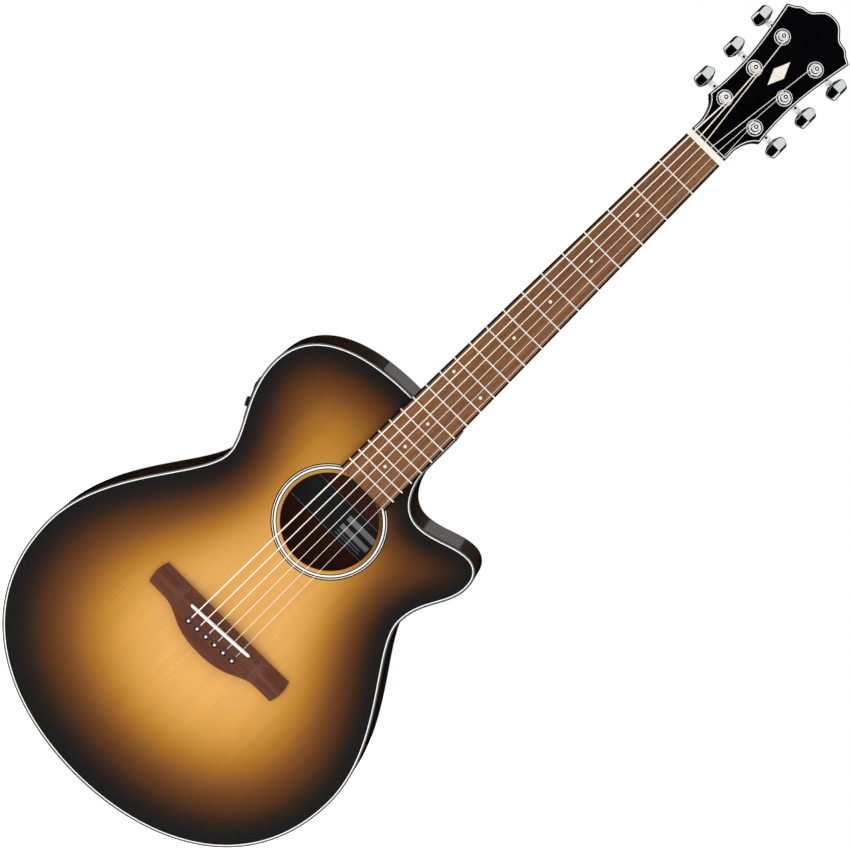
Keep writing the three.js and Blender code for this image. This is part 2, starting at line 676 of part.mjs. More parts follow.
// ---- strings ----
// From the pin's slot over the saddle, along the neck, over the nut and round the post.
function stringRoute(i) {
  const r = STRING_RADII[i];
  const [xs, xn] = [stringAtSaddle(i), stringAtNut(i)];
  const slotZ = pinZ(xs) + 1.75;
  const ySaddle = crownDrop(xs) - SADDLE.top - r - 0.05;
  const yNut = crownDrop(xn) - NUT.top - r - 0.05;
  const rest = SADDLE.width / 2 + 0.2;
  const route = [
    [xs, 9, slotZ],
    [xs, -5.6, slotZ],
    [xs, -6.9, slotZ + 0.6],
    [xs, -7.4, slotZ + 2.1],
    [xs, ySaddle, saddleZ(xs) - rest],
    [xs, ySaddle, saddleZ(xs) + rest],
    [xn, yNut, -0.2],
    [xn, yNut, NUT.length + 0.2],
  ].map((p) => new THREE.Vector3(...p));

  const side = i < 3 ? -1 : 1;
  const post = POSTS[i < 3 ? i : STRING_COUNT - 1 - i];
  const centre = new THREE.Vector2(side * post.x, post.z);
  const from = route.at(-1).clone().applyMatrix4(headFrame.matrix.clone().invert());
  const radius = WRAP.core + WRAP.clear + r;
  const towards = centre.clone().sub(new THREE.Vector2(from.x, from.z));
  const touch = towards.angle() + Math.PI - side * Math.acos(radius / towards.length());
  const pitch = 2 * r + 0.15;
  for (let k = 0; k <= WRAP.turns * WRAP.stepsPerTurn; k += 1) {
    const turn = k / WRAP.stepsPerTurn;
    const angle = touch - side * 2 * Math.PI * turn;
    route.push(new THREE.Vector3(
      centre.x + radius * Math.cos(angle),
      -WRAP.height - pitch * turn,
      centre.y + radius * Math.sin(angle),
    ).applyMatrix4(headFrame.matrix));
  }
  return route;
}

function stringSolid(i) {
  const route = stringRoute(i);
  const frames = [];
  let normal = new THREE.Vector3(1, 0, 0);
  route.forEach((point, k) => {
    const way = route[Math.min(k + 1, route.length - 1)].clone().sub(route[Math.max(k - 1, 0)]).normalize();
    normal = normal.clone().addScaledVector(way, -normal.dot(way)).normalize();
    frames.push({ point, normal, side: way.clone().cross(normal) });
  });
  return loft(polygon(6, STRING_RADII[i]), route.length, (x, y, k) => {
    const { point, normal: across, side } = frames[k];
    return point.clone().addScaledVector(across, x).addScaledVector(side, y);
  });
}

// ---- tuning machines, in the headstock's frame with the post's axis through the origin ----
function sleeveRod(side, radius, from, to, sides) {
  const [x0, x1] = [side * from, side * to];
  return rodX(radius, Math.min(x0, x1), Math.max(x0, x1), WORM_DEPTH, GEAR_CENTRES, sides);
}

function tunerHousing(side) {
  const flangeFront = -HEAD.veneer - GAP - FLANGE.thick;
  const caseShape = new THREE.Shape([
    [-7, -6], [-5, -8], [9, -8], [11, -6], [11, 7.5], [9, 9.5], [-5, 9.5], [-7, 7.5],
  ].map(([x, z]) => new THREE.Vector2(side * x, z)));
  const solid = join(
    slab(caseShape, HEAD.core + GAP, HEAD.core + 11),
    sleeveRod(side, 3.3, 10, SLEEVE_END, 10),
    rodY(BUSHING.radius, -HEAD.veneer - 3, HEAD.core + 1, 0, 0, 10),
    rodY(FLANGE.radius, flangeFront, -HEAD.veneer - GAP, 0, 0, 16),
    rodY(HEX_NUT.radius, flangeFront - HEX_NUT.thick, flangeFront, 0, 0, 6),
  );
  return cut(
    solid,
    rodY(3.5, -8, HEAD.core + 2, 0, 0, 8),
    rodY(3.6, HEAD.core - 1, 21.6, 0, 0, 8),
    sleeveRod(side, 1.9, -6, 8, 8),
    sleeveRod(side, 2.4, 7, 21, 8),
  );
}

function stringPost() {
  return lathe([
    [0, -POST_TOP],
    [2.5, -POST_TOP],
    [3, 0.7 - POST_TOP],
    [3, -9.9],
    [WRAP.core, -9.5],
    [WRAP.core, -6],
    [2.9, -5.7],
    [2.9, HEAD.core + 0.6],
    [1.8, HEAD.core + 0.6],
    [1.8, 16.2],
    [2.8, 16.2],
    [2.8, 20.8],
    [0, 20.8],
  ], 10);
}

function tunerKey(side) {
  // Distance out from the post, half height and half thickness: worm shaft, stem, then the button.
  const sections = [
    [-5, 1.3, 1.3],
    [7.3, 1.3, 1.3],
    [7.4, 1.9, 1.9],
    [19.5, 1.9, 1.9],
    [19.6, 3.2, 2.6],
    [21, 7.6, 3],
    [24, 11.3, BUTTON.halfThick],
    [BUTTON.centre, BUTTON.halfTall, BUTTON.halfThick],
    [31, 10.2, 3.1],
    [33.6, 8.6, 2.4],
    [BUTTON.centre + BUTTON.halfWide, 6, 1.5],
  ];
  return loft(polygon(10, 1), sections.length, (tall, thick, k) => {
    const [x, halfTall, halfThick] = sections[k];
    return new THREE.Vector3(side * x, WORM_DEPTH + thick * halfThick, GEAR_CENTRES + tall * halfTall);
  });
}

// ---- assembly ----
const guitar = new THREE.Group();

const shell = new THREE.Group();
guitar.add(shell);
const bindingRing = ringShape(edge, innerEdge);
piece(shell, 'soundboard', soundboard(), SPRUCE);
piece(shell, 'rosette', rosette(), WHITE, 0, 0, HOLE.z);
piece(shell, 'side_rim', sideRim(), DARK_WOOD);
piece(shell, 'back_plate', backPlate(), DARK_WOOD);
piece(shell, 'front_binding', slab(bindingRing, 0, BINDING_DEEP), BLACK);
piece(shell, 'back_binding', slab(bindingRing, backLevel(-BINDING_DEEP), backLevel(0)), BLACK);

const inside = new THREE.Group();
guitar.add(inside);
piece(inside, 'front_lining', frontLining(), PALE_WOOD);
piece(inside, 'back_lining', backLining(), PALE_WOOD);
piece(inside, 'neck_block', neckBlock(), PALE_WOOD);
piece(inside, 'tail_block', tailBlock(), PALE_WOOD);
piece(inside, 'x_brace', xBrace(), PALE_WOOD);
const upperBrace = topBrace(
  new THREE.Vector2(UPPER_BRACE.from, UPPER_BRACE.z),
  new THREE.Vector2(UPPER_BRACE.to, UPPER_BRACE.z),
  UPPER_BRACE.width, UPPER_BRACE.tall,
);
piece(inside, 'upper_brace', upperBrace, PALE_WOOD);
const toneBar = topBrace(
  new THREE.Vector2(...TONE_BAR.from), new THREE.Vector2(...TONE_BAR.to),
  TONE_BAR.width, TONE_BAR.tall,
);
piece(inside, 'tone_bar', toneBar, PALE_WOOD);
const plateBlank = box(
  -BRIDGE_PLATE.half, BRIDGE_PLATE.half, TOP_THICK, TOP_THICK + BRIDGE_PLATE.thick,
  BRIDGE_PLATE.bottom, BRIDGE_PLATE.top,
);
piece(inside, 'bridge_plate', cut(plateBlank, ...pinHoles()), PALE_WOOD);
Object.entries(BACK_BRACES).forEach(([name, [z, x0, x1]]) => {
  piece(inside, name, backBrace(z, x0, x1), PALE_WOOD);
});
const card = box(-LABEL.half, LABEL.half, -LABEL.thick, 0, -LABEL.tall / 2, LABEL.tall / 2);
const label = piece(inside, 'label', card, PAPER, 0, backDepth(LABEL.z) - BACK_THICK + 1.1, LABEL.z);
label.rotation.x = backTilt;

piece(guitar, 'neck', neck(), DARK_WOOD);
const rod = new THREE.CylinderGeometry(TRUSS_ROD.radius, TRUSS_ROD.radius, TRUSS_ROD.length, 10)
  .rotateX(Math.PI / 2);
piece(guitar, 'truss_rod', rod, STEEL, 0, TRUSS_ROD.depth, TRUSS_ROD.z);
piece(guitar, 'fingerboard', fingerboard(), BOARD_WOOD);
piece(guitar, 'nut', nut(), WHITE);

piece(guitar, 'bridge', bridge(), BRIDGE_WOOD);
const saddleMesh = piece(guitar, 'saddle', saddle(), WHITE, 0, 0, SADDLE.z);
saddleMesh.rotation.y = -SADDLE.slant;
const strip = box(
  -PICKUP.half, PICKUP.half, -PICKUP.thick - 0.1, -0.1, -PICKUP.width / 2, PICKUP.width / 2,
);
const pickup = piece(guitar, 'saddle_pickup', strip, BLACK, 0, SADDLE.slotDeep - BRIDGE.thick, SADDLE.z);
pickup.rotation.y = -SADDLE.slant;

strings.forEach((i) => {
  const x = stringAtSaddle(i);
  piece(guitar, `bridge_pin_${i + 1}`, bridgePin(), BLACK, x, 0, pinZ(x));
  piece(guitar, `string_${i + 1}`, stringSolid(i), STEEL);
});

guitar.add(headFrame);
piece(headFrame, 'headstock_veneer', veneer(), BLACK);
posts.forEach((post, i) => {
  const machine = new THREE.Group();
  machine.position.set(post.x, 0, post.z);
  headFrame.add(machine);
  const number = post.side < 0 ? i + 1 : 9 - i;
  piece(machine, `tuner_housing_${number}`, tunerHousing(post.side), CHROME);
  piece(machine, `string_post_${number}`, stringPost(), CHROME);
  piece(machine, `tuner_key_${number}`, tunerKey(post.side), CHROME);
});

const controls = { ...KNOBS, tuner_button: TUNER_BUTTON };
const controlHoles = Object.entries(controls).map(([name, control]) =>
  knobHole(control, (name === 'tuner_button' ? TUNER_BUTTON.radius : KNOB_SHAFT.radius) + GAP));
piece(guitar, 'preamp', preamp(controlHoles), BLACK);
Object.entries(controls).forEach(([name, control]) => {
  const place = sidePlace(control.t);
  guitar.add(place);
  const solid = name === 'tuner_button' ? pushButton() : knob(control.radius, control.proud);
  piece(place, name, solid, BLACK, 0, control.y, 0);
});
piece(guitar, 'output_jack', outputJack(), CHROME, JACK.x, JACK.y, TAIL_Z);

export default guitar;
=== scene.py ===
"""The looks of a thin single-cutaway acoustic guitar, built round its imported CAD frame.

Shapes are made in millimetres and written to Blender in metres. +Z runs up the neck, the soundboard faces
-Y and the treble side is +X. The headstock has a frame of its own, tilted back at the nut's upper edge.
"""
import math

import bmesh
import bpy
import numpy as np
from mathutils import Matrix, Vector, geometry


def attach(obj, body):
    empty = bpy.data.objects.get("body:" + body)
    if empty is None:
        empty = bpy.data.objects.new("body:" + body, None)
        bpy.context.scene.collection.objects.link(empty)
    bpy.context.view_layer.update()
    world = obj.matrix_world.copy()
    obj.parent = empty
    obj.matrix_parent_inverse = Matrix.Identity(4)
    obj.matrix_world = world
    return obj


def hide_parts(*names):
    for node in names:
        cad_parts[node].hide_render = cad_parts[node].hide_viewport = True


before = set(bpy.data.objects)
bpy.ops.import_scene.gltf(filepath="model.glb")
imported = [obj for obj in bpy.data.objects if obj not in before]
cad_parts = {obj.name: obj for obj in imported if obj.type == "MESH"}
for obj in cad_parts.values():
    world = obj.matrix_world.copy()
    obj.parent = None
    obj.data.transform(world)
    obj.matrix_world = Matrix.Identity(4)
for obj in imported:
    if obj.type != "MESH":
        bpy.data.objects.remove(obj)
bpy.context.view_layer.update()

MM = 0.001
TAU = 2 * math.pi

# ---- dimensions shared with the CAD, in millimetres ----
SCALE = 634
NECK_JOINT_Z = -352.1
TAIL_Z = -836
DEPTH_AT_NECK, DEPTH_AT_TAIL = 66, 80
BACK_DOME = 3.5
TOP_THICK, BACK_THICK, RIM_THICK = 2.8, 2.8, 2.4
BINDING_DEEP = 5.5
BODY_CENTRE = (0, -600)
HOLE_Z, HOLE_RADIUS = -491.6, 46.7
ROSETTE_INNER, ROSETTE_OUTER = 49.6, 55.3
NUT_WIDTH, NUT_LENGTH, NUT_TOP = 42.5, 6, 7.55
JOINT_WIDTH = 55
BOARD_END, BOARD_THICK, CROWN = -446, 6, 400
FRET_COUNT, FRET_HEIGHT, FRET_WIDTH = 20, 1.1, 1.5
HEAD_TILT = math.radians(14)
HEAD_CORE, HEAD_VENEER = 13, 2
POSTS = [(19.3, 40.6), (19.3, 79.3), (21.3, 118.1)]
WORM_DEPTH, GEAR_CENTRES, SLEEVE_END = 18.5, 4.2, 19.2
BRIDGE_FRONT, BRIDGE_WING, BRIDGE_BELLY, BRIDGE_HALF = -626.9, -652.3, -667, 82
BRIDGE_THICK, WING_THICK = 8, 3.6
SADDLE_LENGTH, SADDLE_WIDTH, SADDLE_Z, SADDLE_SLANT, SADDLE_TOP = 74, 3, -636.5, 0.0545, 11.2
PIN_Z, PIN_SLANT = -649.75, 0.038
SADDLE_PITCH, NUT_PITCH = 11, 7.1
STRING_RADII = [0.67, 0.53, 0.41, 0.3, 0.21, 0.17]
WOUND = 4
LABEL_HALF, LABEL_TALL, LABEL_THICK, LABEL_Z = 54, 33.5, 0.4, -494.8
PLATE_START, PLATE_END, PLATE_FRONT, PLATE_BACK = 0.2, 0.62, 15, 53
JACK_Y = 45
GAP = 0.3

HEAD = Matrix.Translation((0, 0, NUT_LENGTH)) @ Matrix.Rotation(-HEAD_TILT, 4, "X")
BACK_TILT = math.atan2(DEPTH_AT_TAIL - DEPTH_AT_NECK, NECK_JOINT_Z - TAIL_Z)


# ---- meshes ----
class Shape:
    """Points and faces in millimetres, and which of the piece's materials each face takes."""

    def __init__(self):
        self.points = []
        self.faces = []
        self.finish = []

    def add(self, points, faces, finish=0):
        start = len(self.points)
        self.points += [Vector(p) for p in points]
        self.faces += [[start + i for i in face] for face in faces]
        self.finish += finish if isinstance(finish, list) else [finish] * len(faces)

    def skin(self, loops, finish=0, wrap=False, caps=(True, True)):
        """Quads between one closed loop of points and the next. finish may be a list, one for each band."""
        count = len(loops[0])
        bands = len(loops) if wrap else len(loops) - 1
        faces, kinds = [], []
        for band in range(bands):
            a = band * count
            b = (band + 1) % len(loops) * count
            for i in range(count):
                j = (i + 1) % count
                faces.append([a + i, a + j, b + j, b + i])
                kinds.append(finish[band] if isinstance(finish, list) else finish)
        ends = [finish[0], finish[-1]] if isinstance(finish, list) else [finish, finish]
        if not wrap:
            last = (len(loops) - 1) * count
            if caps[0]:
                faces.append(list(reversed(range(count))))
                kinds.append(ends[0])
            if caps[1]:
                faces.append([last + i for i in range(count)])
                kinds.append(ends[1])
        self.add([p for loop in loops for p in loop], faces, kinds)


def make(name, shape, materials, stands_for=(), body="guitar", place=None, crease=32, values=None):
    """The one way a piece is made: its mesh in metres, its materials, its body, and the CAD parts it stands
    for, which it hides.
    """
    mesh = bpy.data.meshes.new(name)
    place = place or Matrix.Identity(4)
    mesh.from_pydata([(place @ p) * MM for p in shape.points], [], shape.faces)
    mesh.polygons.foreach_set("material_index", shape.finish)
    for field, numbers in (values or {}).items():
        mesh.attributes.new(field, "FLOAT", "POINT").data.foreach_set("value", numbers)
    edit = bmesh.new()
    edit.from_mesh(mesh)
    bmesh.ops.remove_doubles(edit, verts=edit.verts, dist=1e-7)
    bmesh.ops.triangulate(edit, faces=[f for f in edit.faces if len(f.verts) > 4])
    bmesh.ops.recalc_face_normals(edit, faces=edit.faces)
    edit.to_mesh(mesh)
    edit.free()
    for material in materials:
        mesh.materials.append(material)
    mesh.shade_smooth()
    mesh.set_sharp_from_angle(angle=math.radians(crease))
    piece = bpy.data.objects.new(name, mesh)
    bpy.context.collection.objects.link(piece)
    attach(piece, body)
    if stands_for:
        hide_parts(*stands_for)
    return piece


def crisp(piece, on_ridge, place=None):
    """Keeps the edges of a piece sharp where both their ends lie on a ridge."""
    back = (place or Matrix.Identity(4)).inverted()
    ends = [on_ridge(back @ (vertex.co / MM)) for vertex in piece.data.vertices]
    for edge in piece.data.edges:
        if ends[edge.vertices[0]] and ends[edge.vertices[1]]:
            edge.use_edge_sharp = True


def soften(piece, width, segments=3, angle=40):
    """Rounds the sharp edges of a piece."""
    bevel = piece.modifiers.new("rounded_edges", "BEVEL")
    bevel.width = width * MM
    bevel.segments = segments
    bevel.limit_method = "ANGLE"
    bevel.angle_limit = math.radians(angle)
    bevel.harden_normals = True
    return piece


def bezier(start, one, two, end, steps):
    """Points on a cubic curve, its end left out."""
    found = []
    for k in range(steps):
        t = k / steps
        s = 1 - t
        found.append(tuple(
            s**3 * a + 3 * s * s * t * b + 3 * s * t * t * c + t**3 * d
            for a, b, c, d in zip(start, one, two, end)
        ))
    return found


def circle(radius, count, centre=(0, 0)):
    return [
        (centre[0] + radius * math.cos(TAU * i / count), centre[1] + radius * math.sin(TAU * i / count))
        for i in range(count)
    ]


def rounded_box(half_x, half_z, corner, steps=5):
    """A rectangle with round corners about the origin."""
    found = []
    for sx, sz, turn in ((1, 1, 0), (-1, 1, 0.25), (-1, -1, 0.5), (1, -1, 0.75)):
        for k in range(steps + 1):
            angle = TAU * (turn + 0.25 * k / steps)
            found.append((
                sx * (half_x - corner) + corner * math.cos(angle),
                sz * (half_z - corner) + corner * math.sin(angle),
            ))
    return found


def inset(points, distance):
    """A counter-clockwise outline moved inwards by the same distance all round."""
    spots = np.array(points, float)
    before = spots - np.roll(spots, 1, 0)
    after = np.roll(spots, -1, 0) - spots
    normals = []
    for way in (before, after):
        way = way / np.linalg.norm(way, axis=1)[:, None]
        normals.append(np.stack([-way[:, 1], way[:, 0]], 1))
    share = 1 + (normals[0] * normals[1]).sum(1)
    return [tuple(p) for p in spots + (normals[0] + normals[1]) * (distance / share)[:, None]]


def within(spots, loop):
    """Which of the spots lie inside a closed loop."""
    inside = np.zeros(len(spots), bool)
    x, z = spots[:, 0], spots[:, 1]
    corners = np.array(loop, float)
    for (x0, z0), (x1, z1) in zip(corners, np.roll(corners, -1, 0)):
        if z0 != z1:
            crosses = (z0 > z) != (z1 > z)
            inside ^= crosses & (x < (x1 - x0) * (z - z0) / (z1 - z0) + x0)
    return inside


def fill(outer, holes, spacing, lines=()):
    """Triangles that fill a flat outline less its holes, with inner points about spacing apart.
    They also keep to any open lines."""
    loops = [outer, *holes]
    rims = np.concatenate([np.array(loop, float) for loop in loops])
    edges = []
    start = 0
    for loop in loops:
        edges += [(start + i, start + (i + 1) % len(loop)) for i in range(len(loop))]
        start += len(loop)

    def kept(spots):
        good = within(spots, outer)
        for hole in holes:
            good &= ~within(spots, hole)
        return good

    low, high = rims.min(0), rims.max(0)
    rows = np.arange(low[1], high[1], spacing)
    grid = np.array([(x, z) for z in rows for x in np.arange(low[0], high[0], spacing)])
    grid = grid[kept(grid)]
    if len(grid):
        clear = np.array([np.min(np.hypot(*(rims - spot).T)) for spot in grid])
        grid = grid[clear > 0.5 * spacing]
    cloud = np.concatenate([rims, grid]) if len(grid) else rims
    for line in lines:
        edges += [(len(cloud) + i, len(cloud) + i + 1) for i in range(len(line) - 1)]
        cloud = np.concatenate([cloud, np.array(line, float)])
    found = geometry.delaunay_2d_cdt([Vector(p) for p in cloud], edges, [], 0, 1e-7)
    spots = np.array([tuple(p) for p in found[0]])
    triangles = np.array([list(face) for face in found[2]])
    return spots, triangles[kept(spots[triangles].mean(1))].tolist()


def sheet(outer, holes, spacing, front, back, finish=(0, 0, 0)):
    """A solid sheet over an (x, z) outline between y = front(x, z) and y = back(x, z).
    finish is for its front, its back and its walls."""
    spots, triangles = fill(outer, holes, spacing)
    shape = Shape()
    count = len(spots)
    shape.points = [Vector((x, front(x, z), z)) for x, z in spots]
    shape.points += [Vector((x, back(x, z), z)) for x, z in spots]
    sides = {}
    for a, b, c in triangles:
        shape.faces += [[a, b, c], [count + c, count + b, count + a]]
        shape.finish += [finish[0], finish[1]]
        for edge in ((a, b), (b, c), (c, a)):
            sides[edge] = True
    for a, b in sides:
        if (b, a) not in sides:
            shape.faces.append([a, count + a, count + b, b])
            shape.finish.append(finish[2])
    return shape


def turned(profile, sides=48, finish=0, shape=None, place=None, ripple=None):
    """A profile of (radius, height) turned about the Y axis. ripple(angle) scales the radius."""
    shape = shape or Shape()
    place = place or Matrix.Identity(4)
    loops = []
    for radius, height in profile:
        loop = []
        for i in range(sides):
            angle = TAU * i / sides
            reach = max(radius, 1e-3) * (ripple(angle) if ripple else 1)
            loop.append(place @ Vector((reach * math.cos(angle), height, reach * math.sin(angle))))
        loops.append(loop)
    shape.skin(loops, finish)
    return shape


def block(shape, low, high, finish=0, place=None):
    """A box between two corners."""
    place = place or Matrix.Identity(4)
    corners = [place @ Vector((x, y, z)) for x in (low[0], high[0])
               for y in (low[1], high[1]) for z in (low[2], high[2])]
    faces = [[0, 1, 3, 2], [4, 6, 7, 5], [0, 4, 5, 1], [2, 3, 7, 6], [0, 2, 6, 4], [1, 5, 7, 3]]
    shape.add(corners, faces, finish)
    return shape


def tube(route, radius, sides=10, finish=0):
    """A round rod along a route, its section carried along without twisting."""
    route = [Vector(p) for p in route]
    across = Vector((1, 0, 0))
    loops = []
    for k, point in enumerate(route):
        way = (route[min(k + 1, len(route) - 1)] - route[max(k - 1, 0)]).normalized()
        across = (across - way * across.dot(way)).normalized()
        other = way.cross(across)
        loops.append([
            point + radius * (across * math.cos(TAU * i / sides) + other * math.sin(TAU * i / sides))
            for i in range(sides)
        ])
    shape = Shape()
    shape.skin(loops, finish)
    return shape


def ring_sweep(outline, profile, bands):
    """A closed section carried round the outline. Each corner of it is (inset, y of x and z)."""
    loops = []
    for distance, level in profile:
        loops.append([Vector((x, level(x, z), z)) for x, z in inset(outline, distance)])
    shape = Shape()
    shape.skin(loops, bands, wrap=True)
    return shape


# ---- materials ----
def srgb(red, green, blue):
    """A colour as a picture shows it, turned into the light it sends back."""
    def light(c):
        c /= 255
        return c / 12.92 if c <= 0.04045 else ((c + 0.055) / 1.055) ** 2.4
    return (light(red), light(green), light(blue), 1)


class Finish:
    """A material being made: a shader with its even values, and nodes for what varies."""

    def __init__(self, name, roughness, metallic=0, coat=0, coat_roughness=0.03, specular=0.5):
        self.material = bpy.data.materials.new(name)
        self.material.use_nodes = True
        self.nodes = self.material.node_tree.nodes
        self.links = self.material.node_tree.links
        self.shader = self.nodes["Principled BSDF"]
        for socket, value in (
            ("Roughness", roughness), ("Metallic", metallic), ("Coat Weight", coat),
            ("Coat Roughness", coat_roughness), ("Specular IOR Level", specular),
        ):
            self.shader.inputs[socket].default_value = value

    def join(self, source, target):
        self.links.new(source, target)

    def where(self, stretch=(1, 1, 1), turn=(0, 0, 0)):
        """The place on the object, in metres, stretched before a pattern reads it."""
        spot = self.nodes.new("ShaderNodeTexCoord")
        mapping = self.nodes.new("ShaderNodeMapping")
        mapping.inputs["Scale"].default_value = stretch
        mapping.inputs["Rotation"].default_value = turn
        self.join(spot.outputs["Object"], mapping.inputs["Vector"])
        return mapping.outputs["Vector"]

    def cloud(self, scale, detail=4, stretch=(1, 1, 1), roughness=0.55, distortion=0):
        noise = self.nodes.new("ShaderNodeTexNoise")
        noise.inputs["Scale"].default_value = scale
        noise.inputs["Detail"].default_value = detail
        noise.inputs["Roughness"].default_value = roughness
        noise.inputs["Distortion"].default_value = distortion
        self.join(self.where(stretch), noise.inputs["Vector"])
        return noise.outputs["Fac"]

    def waves(self, scale, axis, distortion=0, stretch=(1, 1, 1), profile="SIN"):
        wave = self.nodes.new("ShaderNodeTexWave")
        wave.bands_direction = axis
        wave.wave_profile = profile
        wave.inputs["Scale"].default_value = scale
        wave.inputs["Distortion"].default_value = distortion
        wave.inputs["Detail"].default_value = 2
        self.join(self.where(stretch), wave.inputs["Vector"])
        return wave.outputs["Fac"]

    def ramp(self, source, stops):
        """A colour for each level of the source."""
        ramp = self.nodes.new("ShaderNodeValToRGB")
        colours = ramp.color_ramp
        while len(colours.elements) < len(stops):
            colours.elements.new(1)
        for element, (position, colour) in zip(colours.elements, stops):
            element.position = position
            element.color = colour
        self.join(source, ramp.inputs["Fac"])
        return ramp.outputs["Color"]

    def levels(self, source, low, high, start=0.3, end=0.7):
        """The source's range from start to end, spread from low to high."""
        spread = self.nodes.new("ShaderNodeMapRange")
        spread.inputs["From Min"].default_value = start
        spread.inputs["From Max"].default_value = end
        spread.inputs["To Min"].default_value = low
        spread.inputs["To Max"].default_value = high
        self.join(source, spread.inputs["Value"])
        return spread.outputs["Result"]

    def shade(self, colour, source, low, high, start=0.3, end=0.7):
        """A colour made darker and lighter by a pattern."""
        mix = self.nodes.new("ShaderNodeMix")
        mix.data_type = "RGBA"
        mix.blend_type = "MULTIPLY"
        mix.inputs["Factor"].default_value = 1
        if isinstance(colour, tuple):
            mix.inputs["A"].default_value = colour
            mix.inputs[6].default_value = colour
        else:
            self.join(colour, mix.inputs[6])
        grey = self.ramp(self.levels(source, 0, 1, start, end), [
            (0, (low, low, low, 1)), (1, (high, high, high, 1)),
        ])
        self.join(grey, mix.inputs[7])
        return mix.outputs[2]

    def colour(self, source):
        self.join(source, self.shader.inputs["Base Color"])
        return self

    def roughness(self, source, low, high):
        self.join(self.levels(source, low, high), self.shader.inputs["Roughness"])
        return self

    def bump(self, source, height, strength=0.5, coat=False):
        """Relief of that height, in millimetres."""
        bump = self.nodes.new("ShaderNodeBump")
        bump.inputs["Strength"].default_value = strength
        bump.inputs["Distance"].default_value = height * MM
        self.join(source, bump.inputs["Height"])
        self.join(bump.outputs["Normal"], self.shader.inputs["Normal"])
        if coat:
            self.join(bump.outputs["Normal"], self.shader.inputs["Coat Normal"])
        return self


def wood(name, dark, light, grain=900, along=(1, 1, 0.02), roughness=0.5, coat=0, pores=0.75, relief=0.04):
    """Straight-grained wood: fine lines along Z, slower bands across them, and short dark pores."""
    finish = Finish(name, roughness, coat=coat, coat_roughness=0.25, specular=0.2)
    lines = finish.cloud(grain, 5, along)
    base = finish.ramp(finish.cloud(grain / 7, 3, along, distortion=0.4), [(0.25, dark), (0.75, light)])
    lined = finish.shade(base, lines, 0.78, 1.12)
    specks = finish.cloud(grain * 1.6, 2, (along[0], along[1], along[2] * 3.2))
    finish.colour(finish.shade(lined, specks, pores, 1, 0.34, 0.46))
    if coat == 0:
        finish.roughness(lines, roughness - 0.08, roughness + 0.12)
    finish.bump(specks, relief, 0.4)
    return finish.material


def plastic(name, colour, roughness=0.25, coat=0.0, mottle=0.06, relief=0.01, scale=700):
    """Moulded plastic or lacquer, with faint cloudiness and a very fine unevenness."""
    finish = Finish(name, roughness, coat=coat)
    blotches = finish.cloud(90, 4)
    finish.colour(finish.shade(colour, blotches, 1 - mottle, 1 + mottle))
    grains = finish.cloud(scale, 3)
    finish.roughness(grains, max(0.02, roughness - 0.05), roughness + 0.07)
    finish.bump(grains, relief, 0.3)
    return finish.material


def metal(name, colour, roughness, relief=0.004, wear=0.05, scale=900, metallic=1.0):
    finish = Finish(name, roughness, metallic=metallic)
    smears = finish.cloud(240, 4)
    finish.colour(finish.shade(colour, smears, 1 - wear, 1))
    finish.roughness(smears, max(0.02, roughness - 0.03), roughness + 0.05)
    finish.bump(finish.cloud(scale, 2), relief, 0.3)
    return finish.material


def sunburst():
    """Spruce under a sprayed dark edge: the spray value on the mesh says how far in from the edge it is."""
    finish = Finish("sunburst_spruce", 0.5, coat=1.0, coat_roughness=0.04, specular=0.05)
    spray = finish.nodes.new("ShaderNodeAttribute")
    spray.attribute_name = "spray"
    tones = [
        (0.05, (28, 28, 28)), (0.11, (33, 29, 27)), (0.17, (46, 33, 25)), (0.23, (62, 39, 23)),
        (0.29, (82, 48, 24)), (0.35, (97, 56, 25)), (0.41, (112, 67, 28)), (0.47, (130, 80, 32)),
        (0.53, (150, 96, 34)), (0.59, (168, 112, 37)), (0.65, (185, 128, 46)), (0.71, (200, 143, 60)),
        (0.77, (212, 155, 72)), (0.83, (221, 164, 84)), (0.90, (228, 171, 93)),
    ]
    tint = finish.ramp(spray.outputs["Fac"], [(at, srgb(*tone)) for at, tone in tones])
    growth = finish.cloud(1150, 4, (1, 1, 0.012), distortion=0.15)
    lined = finish.shade(tint, growth, 0.77, 0.88)
    broad = finish.cloud(95, 3, (1, 1, 0.03))
    banded = finish.shade(lined, broad, 0.965, 1.035)
    silk = finish.cloud(420, 3, (0.16, 1, 1))
    finish.colour(finish.shade(banded, silk, 0.975, 1.02))
    finish.bump(growth, 0.01, 0.25)
    return finish.material


def dark_side_wood(name, coat=1.0):
    """Dark stained mahogany under gloss, its figure only just visible."""
    finish = Finish(name, 0.35, coat=coat, coat_roughness=0.03)
    ribbon = finish.cloud(60, 3, (1, 1, 0.15), distortion=0.6)
    base = finish.ramp(ribbon, [(0.3, srgb(46, 28, 16)), (0.7, srgb(78, 48, 28))])
    lines = finish.cloud(1000, 4, (1, 1, 0.02))
    finish.colour(finish.shade(base, lines, 0.75, 1.15))
    finish.bump(lines, 0.01, 0.2)
    return finish.material


def wound_wire():
    """Bronze wrap wire round a steel core, a little under four turns to the millimetre."""
    finish = Finish("bronze_wrap", 0.3, metallic=0.08)
    turns = finish.waves(620, "Z")
    # The colour is a tenth darker where the bump sinks between turns: painted shade in the grooves, on top of
    # the bump.
    finish.colour(finish.shade(srgb(255, 245, 228), turns, 0.9, 1, 0, 1))
    finish.bump(turns, 0.05, 0.6)
    return finish.material


def pearl(name, colour):
    finish = Finish(name, 0.22, coat=0.6)
    layers = finish.cloud(320, 4, (1, 1, 0.5), distortion=1.2)
    warm = tuple(c * s for c, s in zip(colour[:3], (0.86, 0.84, 0.8))) + (1,)
    finish.colour(finish.ramp(layers, [(0.35, warm), (0.6, colour)]))
    finish.roughness(layers, 0.16, 0.3)
    return finish.material


